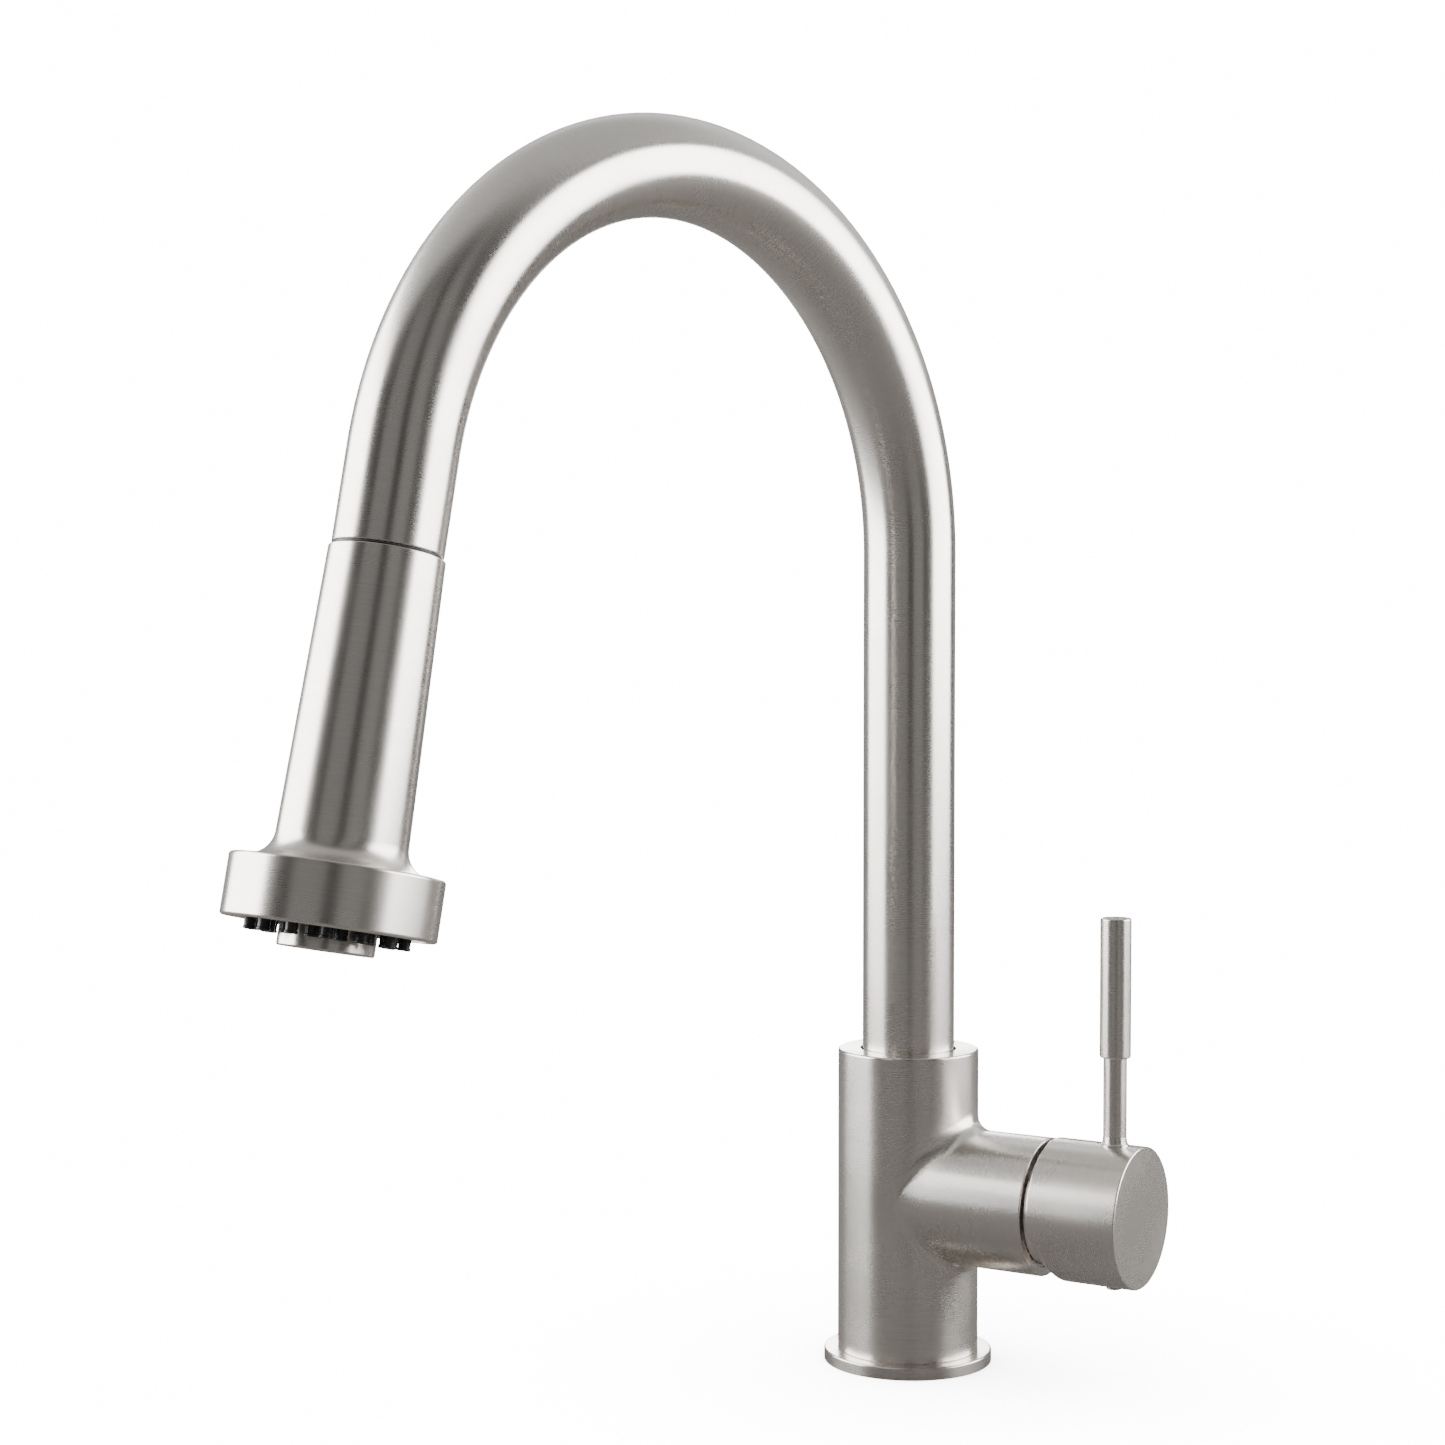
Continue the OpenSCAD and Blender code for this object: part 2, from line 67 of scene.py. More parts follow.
# Two directions square to an axis and to each other; the first lies nearest to the hint
def sideways(axis, hint):
    first = unit(np.asarray(hint, float) - np.dot(hint, axis) * axis)
    return first, np.cross(axis, first)


# An outline with its corners rounded. A corner (r, z, radius) becomes an arc that touches both of
# its sides, and a point just past each end of the arc keeps the flat sides flat when shaded.
def rounded(corners, steps=6, hold=0.12):
    places = np.array([c[:2] for c in corners], float)
    out = []
    for i, corner in enumerate(corners):
        radius = corner[2] if len(corner) > 2 else 0
        here, before, after = places[i], places[i - 1], places[(i + 1) % len(places)]
        if radius == 0:
            out.append(here)
            continue
        a, b = unit(before - here), unit(after - here)
        half = math.acos(max(-1, min(1, a @ b))) / 2
        reach = radius / math.tan(half)
        centre = here + unit(a + b) * radius / math.sin(half)
        start, end = here + a * reach - centre, here + b * reach - centre
        t = np.linspace(0, 1, steps + 1)[:, None]
        span = math.pi - 2 * half
        arc = centre + (np.sin((1 - t) * span) * start + np.sin(t * span) * end) / math.sin(span)
        out += [here + a * (reach + hold), *arc, here + b * (reach + hold)]
    return np.array(out)


# Extra points where the sides of a closed outline are longer than a step
def divided(outline, step):
    rows = []
    for p, q in zip(outline, np.roll(outline, -1, 0)):
        n = max(1, math.ceil(np.linalg.norm(q - p) / step))
        rows.append(p + (q - p) * np.linspace(0, 1, n, endpoint=False)[:, None])
    return np.concatenate(rows)


# Brush space runs round every piece in x and y, on a circle of this radius in millimetres, and along
# it in z, so that it has no seam
brushCircle = 20.0


# A grid of points, with the direction of the brushing and a place in brush space at each
def block(points, brush, space, wrapRows=False, wrapColumns=True):
    return {"points": points, "brush": brush, "space": space,
            "wrapRows": wrapRows, "wrapColumns": wrapColumns}


# The quads between neighbouring rows and columns of a grid whose first point has the given number
def quads(b, first):
    rows, columns = b["points"].shape[:2]
    i = np.arange(rows if b["wrapRows"] else rows - 1)[:, None]
    j = np.arange(columns if b["wrapColumns"] else columns - 1)[None, :]
    i2, j2 = (i + 1) % rows, (j + 1) % columns
    corners = np.broadcast_arrays(i * columns + j, i * columns + j2, i2 * columns + j2, i2 * columns + j)
    return first + np.stack(corners, -1).reshape(-1, 4)


# One closed mesh from several grids: points that meet are merged and the faces turned outwards
def buildPiece(name, blocks, material, body, replaces=()):
    firsts = np.cumsum([0] + [b["points"].shape[0] * b["points"].shape[1] for b in blocks])
    faces = np.concatenate([quads(b, n) for b, n in zip(blocks, firsts)])
    places = np.concatenate([b["points"].reshape(-1, 3) for b in blocks])
    mesh = bpy.data.meshes.new(name)
    mesh.vertices.add(len(places))
    mesh.vertices.foreach_set("co", places.astype(np.float32).ravel())
    mesh.loops.add(faces.size)
    mesh.loops.foreach_set("vertex_index", faces.astype(np.int32).ravel())
    mesh.polygons.add(len(faces))
    mesh.polygons.foreach_set("loop_start", np.arange(0, faces.size, 4, dtype=np.int32))
    for key in ("brush", "space"):
        values = [np.broadcast_to(b[key], b["points"].shape).reshape(-1, 3) for b in blocks]
        layer = mesh.attributes.new(key, "FLOAT_VECTOR", "POINT")
        layer.data.foreach_set("vector", np.concatenate(values).astype(np.float32).ravel())
    mesh.update(calc_edges=True)
    bm = bmesh.new()
    bm.from_mesh(mesh)
    bmesh.ops.remove_doubles(bm, verts=bm.verts, dist=1e-6)
    bmesh.ops.recalc_face_normals(bm, faces=bm.faces)
    bm.to_mesh(mesh)
    bm.free()
    mesh.polygons.foreach_set("use_smooth", np.ones(len(mesh.polygons), bool))
    mesh.set_sharp_from_angle(angle=math.radians(35))
    piece = bpy.data.objects.new(name, mesh)
    bpy.context.scene.collection.objects.link(piece)
    mesh.materials.append(material)
    if body:
        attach(piece, body)
    if replaces:
        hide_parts(*replaces)
    return piece


# A closed outline (r, z) in millimetres carried once round an axis:
# place = origin + z axis + factor r (cos a first + sin a second)
def turned(outline, origin=(0, 0, 0), axis=(0, 0, 1), hint=(1, 0, 0), columns=144, factor=1):
    axis = unit(axis)
    first, second = sideways(axis, hint)
    a = np.linspace(0, 2 * math.pi, columns, endpoint=False)[None, :, None]
    r, z = outline[:, 0, None, None] * mm, outline[:, 1, None, None] * mm
    points = np.asarray(origin) + z * axis + r * factor * (np.cos(a) * first + np.sin(a) * second)
    around = np.cos(a) * second - np.sin(a) * first
    gone = np.cumsum(np.linalg.norm(np.diff(outline, axis=0, prepend=outline[:1]), axis=1))
    along = gone[:, None, None]
    circle = brushCircle * np.cos(a), brushCircle * np.sin(a)
    space = np.concatenate(np.broadcast_arrays(*circle, along), -1) * mm
    return block(points, np.broadcast_to(around, points.shape), space, wrapRows=True)


# A new shader group with its inputs and outputs, each given as name: default value
def newGroup(name, inputs, outputs):
    group = bpy.data.node_groups.new(name, "ShaderNodeTree")
    for key, value in inputs.items():
        kind = "NodeSocketVector" if isinstance(value, tuple) else "NodeSocketFloat"
        socket = group.interface.new_socket(key, in_out="INPUT", socket_type=kind)
        socket.default_value = value
    for key in outputs:
        group.interface.new_socket(key, in_out="OUTPUT", socket_type="NodeSocketFloat")
    return group, group.nodes.new("NodeGroupInput"), group.nodes.new("NodeGroupOutput")


# A node with its settings and its input values or links
def addNode(tree, kind, settings=None, **inputs):
    node = tree.nodes.new(kind)
    for key, value in (settings or {}).items():
        setattr(node, key, value)
    for key, value in inputs.items():
        socket = node.inputs[int(key[1:])] if key[0] == "i" and key[1:].isdigit() else node.inputs[key]
        if isinstance(value, bpy.types.NodeSocket):
            tree.links.new(value, socket)
        else:
            socket.default_value = value
    return node


def mathNode(tree, operation, a, b=0.0, c=0.0):
    return addNode(tree, "ShaderNodeMath", {"operation": operation}, i0=a, i1=b, i2=c).outputs[0]


def remap(tree, value, low, high, toLow, toHigh):
    settings = {"clamp": True}
    inputs = {"Value": value, "From Min": low, "From Max": high, "To Min": toLow, "To Max": toHigh}
    return addNode(tree, "ShaderNodeMapRange", settings, **inputs).outputs["Result"]


def noise(tree, vector, scale, detail=2.0, roughness=0.5):
    inputs = {"Vector": vector, "Scale": scale, "Detail": detail, "Roughness": roughness}
    return addNode(tree, "ShaderNodeTexNoise", None, **inputs).outputs["Fac"]


def stretched(tree, vector, x, y, z):
    scale = addNode(tree, "ShaderNodeVectorMath", {"operation": "MULTIPLY"}, i0=vector, i1=(x, y, z))
    return scale.outputs[0]


# Brushing: noise drawn out round the piece and cut fine along it, in two widths,
# with rare longer scratches where a wide-spaced noise rises above a threshold
def makeBrushing():
    group, given, result = newGroup(
        "brushing", {"Place": (0.0, 0.0, 0.0), "Fineness": 1.0}, ("Tone", "Height", "Scratch"))
    where, fineness = given.outputs["Place"], given.outputs["Fineness"]
    fine = noise(group, stretched(group, where, 90, 90, 5200), fineness, 3, 0.6)
    broad = noise(group, stretched(group, where, 60, 60, 2000), fineness, 2)
    rare = noise(group, stretched(group, where, 100, 100, 4200), fineness, 1)
    fineShare = mathNode(group, "MULTIPLY", fine, 0.62)
    broadShare = mathNode(group, "MULTIPLY", broad, 0.38)
    group.links.new(mathNode(group, "ADD", fineShare, broadShare), result.inputs["Tone"])
    group.links.new(fine, result.inputs["Height"])
    group.links.new(remap(group, rare, 0.72, 0.82, 0, 1), result.inputs["Scratch"])
    return group


# Handling: wide soft patches where the finish is a little duller and warmer, and fine specks of dust
def makeHandling():
    group, given, result = newGroup("handling", {"Place": (0.0, 0.0, 0.0), "Size": 30.0}, ("Patch", "Speck"))
    patch = noise(group, given.outputs["Place"], given.outputs["Size"], 4, 0.62)
    speckSize = mathNode(group, "MULTIPLY", given.outputs["Size"], 22)
    speck = noise(group, given.outputs["Place"], speckSize, 3, 0.7)
    group.links.new(remap(group, patch, 0.42, 0.68, 0, 1), result.inputs["Patch"])
    group.links.new(remap(group, speck, 0.6, 0.75, 0, 1), result.inputs["Speck"])
    return group


# Moulded: the fine orange-peel surface that a polished mould leaves on plastic and rubber
def makeMoulded():
    group, given, result = newGroup("moulded", {"Place": (0.0, 0.0, 0.0), "Size": 900.0}, ("Height", "Tone"))
    peel = noise(group, given.outputs["Place"], given.outputs["Size"], 2)
    cloud = noise(group, given.outputs["Place"], mathNode(group, "MULTIPLY", given.outputs["Size"], 0.08), 3)
    group.links.new(peel, result.inputs["Height"])
    group.links.new(cloud, result.inputs["Tone"])
    return group


brushing, handling, moulded = makeBrushing(), makeHandling(), makeMoulded()


# One use of a group, at a place and with its other inputs given
def place(tree, group, vector, **values):
    node = addNode(tree, "ShaderNodeGroup", {"node_tree": group})
    tree.links.new(vector, node.inputs["Place"])
    for key, value in values.items():
        node.inputs[key].default_value = value
    return node


# A material with its shader and the constants that sit on the shader's own sockets
def newMaterial(name, **constants):
    material = bpy.data.materials.new(name)
    material.use_nodes = True
    tree = material.node_tree
    shader = tree.nodes["Principled BSDF"]
    for key, value in constants.items():
        shader.inputs[key].default_value = value
    return material, tree, shader


def mixColour(tree, factor, a, b):
    node = addNode(tree, "ShaderNodeMix", {"data_type": "RGBA", "blend_type": "MIX"})
    for socket, value in zip((node.inputs[0], node.inputs[6], node.inputs[7]), (factor, a, b)):
        if isinstance(value, bpy.types.NodeSocket):
            tree.links.new(value, socket)
        else:
            socket.default_value = value
    return node.outputs[2]


def bumpFrom(tree, shader, height, distance):
    bump = addNode(tree, "ShaderNodeBump", None, Height=height, Distance=distance, Strength=1.0)
    tree.links.new(bump.outputs["Normal"], shader.inputs["Normal"])


# Brushed metal: the tone, roughness and height follow the brushing, and the highlight is drawn out across it
def brushedMetal(name, metal):
    constants = {"Metallic": 1.0, "Anisotropic": metal["anisotropy"], "Anisotropic Rotation": 0.25}
    material, tree, shader = newMaterial(name, **constants)
    space = addNode(tree, "ShaderNodeAttribute", {"attribute_name": "space"}).outputs["Vector"]
    brush = addNode(tree, "ShaderNodeAttribute", {"attribute_name": "brush"}).outputs["Vector"]
    toWorld = {"vector_type": "VECTOR", "convert_from": "OBJECT", "convert_to": "WORLD"}
    turnedBrush = addNode(tree, "ShaderNodeVectorTransform", toWorld, Vector=brush)
    tree.links.new(turnedBrush.outputs[0], shader.inputs["Tangent"])
    grain = place(tree, brushing, space, Fineness=metal["fineness"])
    where = addNode(tree, "ShaderNodeTexCoord").outputs["Object"]
    marks = place(tree, handling, where, Size=metal["patchSize"])
    tone = mixColour(tree, remap(tree, grain.outputs["Tone"], 0.3, 0.7, 0, 1), metal["dark"], metal["light"])
    patch = mathNode(tree, "MULTIPLY", marks.outputs["Patch"], metal["patch"])
    warm = mixColour(tree, patch, tone, metal["warm"])
    worn = mixColour(tree, mathNode(tree, "MULTIPLY", grain.outputs["Scratch"], 0.5), warm, metal["light"])
    tree.links.new(worn, shader.inputs["Base Color"])
    least, most = metal["roughness"] - 0.015, metal["roughness"] + 0.015
    rough = remap(tree, grain.outputs["Tone"], 0.3, 0.7, most, least)
    duller = mathNode(tree, "MULTIPLY_ADD", marks.outputs["Patch"], metal["patch"] * 0.25, rough)
    dusty = mathNode(tree, "MULTIPLY_ADD", marks.outputs["Speck"], 0.01, duller)
    tree.links.new(dusty, shader.inputs["Roughness"])
    bumpFrom(tree, shader, grain.outputs["Height"], metal["depth"] * mm)
    return material


nickelFinish = {
    "light": (0.79, 0.752, 0.708, 1), "dark": (0.71, 0.672, 0.628, 1), "warm": (0.66, 0.61, 0.555, 1),
    "roughness": 0.26, "anisotropy": 0.66, "fineness": 1.0, "depth": 0.0002, "patch": 0.2, "patchSize": 26.0,
}
faceFinish = dict(nickelFinish, roughness=0.34, anisotropy=0.4)
screwFinish = dict(nickelFinish, light=(0.4, 0.39, 0.38, 1), dark=(0.3, 0.29, 0.28, 1), roughness=0.3)


# Turned metal for CAD pieces: fine tool rings on Object coordinates, duller in patches
def turnedMetal(name, metal):
    material, tree, shader = newMaterial(name, Metallic=1.0)
    where = addNode(tree, "ShaderNodeTexCoord").outputs["Object"]
    marks = place(tree, handling, where, Size=metal["patchSize"])
    rings = noise(tree, stretched(tree, where, *metal["rings"]), 1.0, 2)
    tone = mixColour(tree, rings, metal["dark"], metal["light"])
    warm = mixColour(tree, mathNode(tree, "MULTIPLY", marks.outputs["Patch"], 0.35), tone, metal["warm"])
    tree.links.new(warm, shader.inputs["Base Color"])
    tree.links.new(remap(tree, rings, 0.3, 0.7, metal["roughness"] - 0.05, metal["roughness"] + 0.05),
                   shader.inputs["Roughness"])
    bumpFrom(tree, shader, rings, 0.006 * mm)
    return material


brassFinish = {
    "light": (0.86, 0.68, 0.36, 1), "dark": (0.70, 0.52, 0.25, 1), "warm": (0.55, 0.38, 0.18, 1),
    "roughness": 0.27, "rings": (300, 300, 1800), "patchSize": 60.0,
}
steelFinish = {
    "light": (0.70, 0.69, 0.68, 1), "dark": (0.50, 0.49, 0.48, 1), "warm": (0.52, 0.48, 0.44, 1),
    "roughness": 0.25, "rings": (900, 900, 900), "patchSize": 60.0,
}


# Moulded plastic or rubber: an even colour with slight clouds, orange peel and fine specks of dust
def mouldedPlastic(name, plastic):
    material, tree, shader = newMaterial(name)
    where = addNode(tree, "ShaderNodeTexCoord").outputs["Object"]
    skin = place(tree, moulded, where, Size=plastic["peel"])
    marks = place(tree, handling, where, Size=40.0)
    tone = mixColour(tree, skin.outputs["Tone"], plastic["dark"], plastic["light"])
    dusty = mixColour(tree, mathNode(tree, "MULTIPLY", marks.outputs["Speck"], plastic["dust"]), tone,
                      (0.5, 0.48, 0.45, 1))
    tree.links.new(dusty, shader.inputs["Base Color"])
    least, most = plastic["roughness"] - 0.05, plastic["roughness"] + 0.08
    tree.links.new(remap(tree, marks.outputs["Patch"], 0, 1, least, most), shader.inputs["Roughness"])
    bumpFrom(tree, shader, skin.outputs["Height"], plastic["depth"] * mm)
    return material


rubberFinish = {"light": (0.022, 0.023, 0.024, 1), "dark": (0.010, 0.011, 0.011, 1),
                "roughness": 0.42, "peel": 1500.0, "depth": 0.02, "dust": 0.10}
whitePlastic = {"light": (0.84, 0.84, 0.80, 1), "dark": (0.76, 0.76, 0.72, 1),
                "roughness": 0.38, "peel": 900.0, "depth": 0.015, "dust": 0.05}
greyPlastic = {"light": (0.075, 0.077, 0.082, 1), "dark": (0.045, 0.046, 0.05, 1),
               "roughness": 0.4, "peel": 1100.0, "depth": 0.02, "dust": 0.08}
valvePlastic = {"light": (0.10, 0.24, 0.52, 1), "dark": (0.07, 0.18, 0.42, 1),
                "roughness": 0.35, "peel": 900.0, "depth": 0.015, "dust": 0.04}
ceramicFinish = {"light": (0.90, 0.89, 0.85, 1), "dark": (0.84, 0.83, 0.79, 1),
                 "roughness": 0.16, "peel": 2500.0, "depth": 0.003, "dust": 0.0}


# Braid: two sets of crossing strands on the hose's own map, u round it and v along it.
# Height = the higher of two strand waves, each lifted where it passes over the other.
def braidedHose(name, braid):
    material, tree, shader = newMaterial(name, Metallic=0.0)
    uv = addNode(tree, "ShaderNodeUVMap", {"uv_map": "route"}).outputs["UV"]
    parts = addNode(tree, "ShaderNodeSeparateXYZ", None, Vector=uv)
    u = mathNode(tree, "MULTIPLY", parts.outputs["X"], braid["strands"])
    v = mathNode(tree, "MULTIPLY", parts.outputs["Y"], braid["crossings"])
    waves = []
    for way in (1, -1):
        turn = mathNode(tree, "MULTIPLY", mathNode(tree, "MULTIPLY_ADD", v, float(way), u), 2 * math.pi)
        over = mathNode(tree, "MULTIPLY", mathNode(tree, "MULTIPLY_ADD", v, float(-way), u), math.pi)
        strand = mathNode(tree, "ABSOLUTE", mathNode(tree, "SINE", mathNode(tree, "MULTIPLY", turn, 0.5)))
        lift = mathNode(tree, "MULTIPLY", mathNode(tree, "SINE", over), float(way) * 0.4)
        waves.append(mathNode(tree, "ADD", strand, lift))
    height = mathNode(tree, "MAXIMUM", waves[0], waves[1])
    tone = mixColour(tree, remap(tree, height, 0.45, 1.2, 0, 1), braid["gap"], braid["strand"])
    tree.links.new(tone, shader.inputs["Base Color"])
    tree.links.new(remap(tree, height, 0.45, 1.2, 0.6, 0.32), shader.inputs["Roughness"])
    bumpFrom(tree, shader, height, braid["depth"] * mm)
    return material


braidFinish = {"strands": 16.0, "crossings": 420.0, "depth": 0.25,
               "strand": (0.46, 0.46, 0.47, 1), "gap": (0.05, 0.05, 0.055, 1)}

nickel = brushedMetal("brushedNickel", nickelFinish)
faceMetal = brushedMetal("satinFace", faceFinish)
screwSteel = brushedMetal("screwSteel", screwFinish)
brass = turnedMetal("turnedBrass", brassFinish)
steel = turnedMetal("stainlessSteel", steelFinish)
rubber = mouldedPlastic("blackRubber", rubberFinish)
cartridgePlastic = mouldedPlastic("cartridgePlastic", whitePlastic)
darkPlastic = mouldedPlastic("darkPlastic", greyPlastic)
valveBlue = mouldedPlastic("valvePlastic", valvePlastic)
ceramic = mouldedPlastic("discCeramic", ceramicFinish)
braid = braidedHose("braidedHose", braidFinish)
print("materials made")


flange = {"inner": 19.45, "gasketRoom": 25.9, "gasketDepth": 1.8, "edge": 0.55}


# A flat ring with a rounded rim and room for the gasket below
def makeFlange():
    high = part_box("base_flange")[1]
    outer, top = high.x / mm, high.z / mm
    outline = rounded([
        (flange["inner"], flange["gasketDepth"]), (flange["gasketRoom"], flange["gasketDepth"]),
        (flange["gasketRoom"], 0), (outer, 0, 0.25), (outer, top, flange["edge"]),
        (flange["inner"], top, 0.2)])
    buildPiece("base_flange_turned", [turned(divided(outline, 2.5))], nickel, "faucet_body",
               ["base_flange"])


valve = {
    "housingRadius": 22.0, "fillet": 7.5, "filletRise": 1.75, "filletDip": 3.55,
    "topEdge": 0.7, "endEdge": 0.45, "footRadius": 19.4,
    "seamRadius": 15.6, "seamDepth": 4.0, "spoutBore": 15.5, "spoutFloor": 66.0, "hoseWay": 7.0,
    "socketRadius": 16.5, "socketDepth": 12.0, "cartridgeBore": 17.6, "cartridgeSeat": 22.0,
    "nutBore": 19.0, "nutSeat": 43.0, "patchHalfAngle": 100.0, "patchLow": 12.0, "patchHigh": 98.0,
    "brushBlend": 13.0, "barrelRows": 12, "filletRows": 14, "sideRows": 14,
}


# The body and its side housing with a rolling-ball fillet, widest at the housing's sides and wider
# above it than below: r = fillet + rise sin a - dip sin^2 a. The ball keeps r from both cylinders:
# y = (R2 + r) cos a, z = zc + (R2 + r) sin a, x = sqrt((R1 + r)^2 - y^2).
# Columns run round the housing and rows from its bore, over its end, along it, down the fillet
# and out over the body to the edge of a patch. The rest of the body is turned round its own axis.
def makeBody():
    s = valve
    low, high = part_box("valve_body")
    bodyR, top, end = -low.x / mm, high.z / mm, high.x / mm
    axisZ = joints["handle_turn"]["pos_m"][2] / mm
    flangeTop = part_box("base_flange")[1].z / mm
    housingR = s["housingRadius"]
    half = math.radians(s["patchHalfAngle"])
    across, up = 52, 40
    theta = np.linspace(-half, half, across + 1)
    level = np.linspace(s["patchLow"], s["patchHigh"], up + 1)

    # the patch's edge, once round
    edgeTheta = np.concatenate([np.full(up, half), theta[:0:-1], np.full(up, -half), theta[:-1]])
    aboveZ, belowZ = np.full(across, s["patchHigh"]), np.full(across, s["patchLow"])
    edgeZ = np.concatenate([level[:-1], aboveZ, level[:0:-1], belowZ])
    a = np.arctan2(edgeZ - axisZ, edgeTheta * bodyR)
    ball = s["fillet"] + s["filletRise"] * np.sin(a) - s["filletDip"] * np.sin(a) ** 2

    # places of the ball and of its two lines of contact
    centreY, centreZ = (housingR + ball) * np.cos(a), axisZ + (housingR + ball) * np.sin(a)
    centreX = np.sqrt((bodyR + ball) ** 2 - centreY ** 2)
    onHousing = np.stack([centreX, housingR * np.cos(a), axisZ + housingR * np.sin(a)], -1)
    centre = np.stack([centreX, centreY, centreZ], -1)
    share = bodyR / (bodyR + ball)
    onBody = np.stack([centreX * share, centreY * share, centreZ], -1)
    contactTheta = np.arctan2(centreY, centreX)

    # rows of the bore, the end and the housing's outside
    start = rounded([
        (0, s["cartridgeSeat"]), (s["cartridgeBore"], s["cartridgeSeat"]), (s["cartridgeBore"], s["nutSeat"]),
        (s["nutBore"], s["nutSeat"]), (s["nutBore"], end, 0.25), (housingR, end, s["endEdge"]),
        (housingR, end - 4)])
    r, x = start[:, :1], start[:, 1:]
    bore = np.stack(np.broadcast_arrays(x, r * np.cos(a), axisZ + r * np.sin(a)), -1)
    t = np.linspace(0, 1, s["barrelRows"] + 1)[1:, None, None]
    barrel = bore[-1] + (onHousing - bore[-1]) * t

    # the fillet turns about the ball's centre from one contact to the other
    fromHousing, fromBody = onHousing - centre, onBody - centre
    angle = np.arccos(np.clip((unit(fromHousing) * unit(fromBody)).sum(-1), -1, 1))[:, None]
    t = np.linspace(0, 1, s["filletRows"] + 1)[1:, None, None]
    fillet = centre + (np.sin((1 - t) * angle) * fromHousing + np.sin(t * angle) * fromBody) / np.sin(angle)

    # out over the body's side, straight in its unrolled surface
    t = np.linspace(0, 1, s["sideRows"] + 1)[1:, None]
    sideTheta = contactTheta + (edgeTheta - contactTheta) * t
    sideZ = centreZ + (edgeZ - centreZ) * t
    side = np.stack([bodyR * np.cos(sideTheta), bodyR * np.sin(sideTheta), sideZ], -1)
    points = np.concatenate([bore, barrel, fillet, side])

    # the brushing goes round the housing on it and round the body on the body, and turns from one to
    # the other on either side of the fillet's middle row
    theta3 = np.arctan2(points[..., 1], points[..., 0])
    roundBody = np.stack([-np.sin(theta3), np.cos(theta3), np.zeros_like(theta3)], -1)
    roundHousing = np.broadcast_to(np.stack([np.zeros_like(a), -np.sin(a), np.cos(a)], -1), points.shape)
    gone = np.cumsum(np.linalg.norm(np.diff(points, axis=0, prepend=points[:1]), axis=-1), axis=0)
    middle = len(bore) + s["barrelRows"] + s["filletRows"] // 2
    spread = np.clip((gone - gone[middle]) / (2 * s["brushBlend"]) + 0.5, 0, 1)[..., None]
    spread = spread * spread * (3 - 2 * spread)
    bodySpace = np.stack([brushCircle * np.cos(theta3), brushCircle * np.sin(theta3), points[..., 2]], -1)
    circle = brushCircle * np.cos(a), brushCircle * np.sin(a)
    housingSpace = np.stack(np.broadcast_arrays(*circle, points[..., 0]), -1)
    front = block(points * mm, unit(roundHousing * (1 - spread) + roundBody * spread),
                  (housingSpace * (1 - spread) + bodySpace * spread) * mm)

    # the back of the patch's band, then everything above and below it
    backTheta = np.linspace(half, 2 * math.pi - half, 45)
    ring = lambda angles: np.stack([np.cos(angles), np.sin(angles), np.zeros_like(angles)], -1)
    tangent = lambda angles: np.stack([-np.sin(angles), np.cos(angles), np.zeros_like(angles)], -1)
    upward = np.array([0, 0, 1.0])
    rest = rounded([
        (bodyR, s["patchHigh"]), (bodyR, top, s["topEdge"]), (s["seamRadius"], top, 0.25),
        (s["seamRadius"], top - s["seamDepth"]), (s["spoutBore"], top - s["seamDepth"]),
        (s["spoutBore"], s["spoutFloor"]), (s["hoseWay"], s["spoutFloor"]), (s["hoseWay"], s["socketDepth"]),
        (s["socketRadius"], s["socketDepth"]), (s["socketRadius"], 0, 0.2), (s["footRadius"], 0, 0.2),
        (s["footRadius"], flangeTop), (bodyR, flangeTop, 0.35), (bodyR, s["patchLow"])])
    allTheta = np.concatenate([theta, backTheta[1:-1]])
    blocks = [front]
    back = np.stack([np.full(up + 1, bodyR), level], -1)
    for angles, rows, wrap in ((backTheta, back, False), (allTheta, rest, True)):
        r, z = rows[:, 0, None, None], rows[:, 1, None, None]
        shape = r * ring(angles) + z * upward
        space = brushCircle * ring(angles) + (z + r - bodyR) * upward
        around = np.broadcast_to(tangent(angles), shape.shape)
        blocks.append(block(shape * mm, around, space * mm, wrapColumns=wrap))
    buildPiece("valve_body_cast", blocks, nickel, "faucet_body", ["valve_body"])


dome = {"radius": 19.9, "wall": 1.4, "opening": 12.0, "start": 50.2}


# Part of a ball about the lever's pivot: r = sqrt(R^2 - (x - pivot)^2)
def makeDome():
    pivot = np.array(joints["handle_turn"]["pos_m"]) / mm
    rows = []
    for radius, way in ((dome["radius"], 1), (dome["radius"] - dome["wall"], -1)):
        first, last = dome["start"] - pivot[0], math.sqrt(radius ** 2 - dome["opening"] ** 2)
        x = np.linspace(first, last, 20)[::way]
        rows.append(np.stack([np.sqrt(radius ** 2 - x ** 2), x], -1))
    outline = np.concatenate(rows)
    buildPiece("bonnet_dome_spun", [turned(outline, pivot * mm, (1, 0, 0), (0, 1, 0))], nickel,
               "faucet_body", ["bonnet_dome"])


screw = {"radius": 2.4, "socket": 1.45, "mouth": 1.62, "socketDepth": 2.6, "apothem": 0.9, "columns": 72}


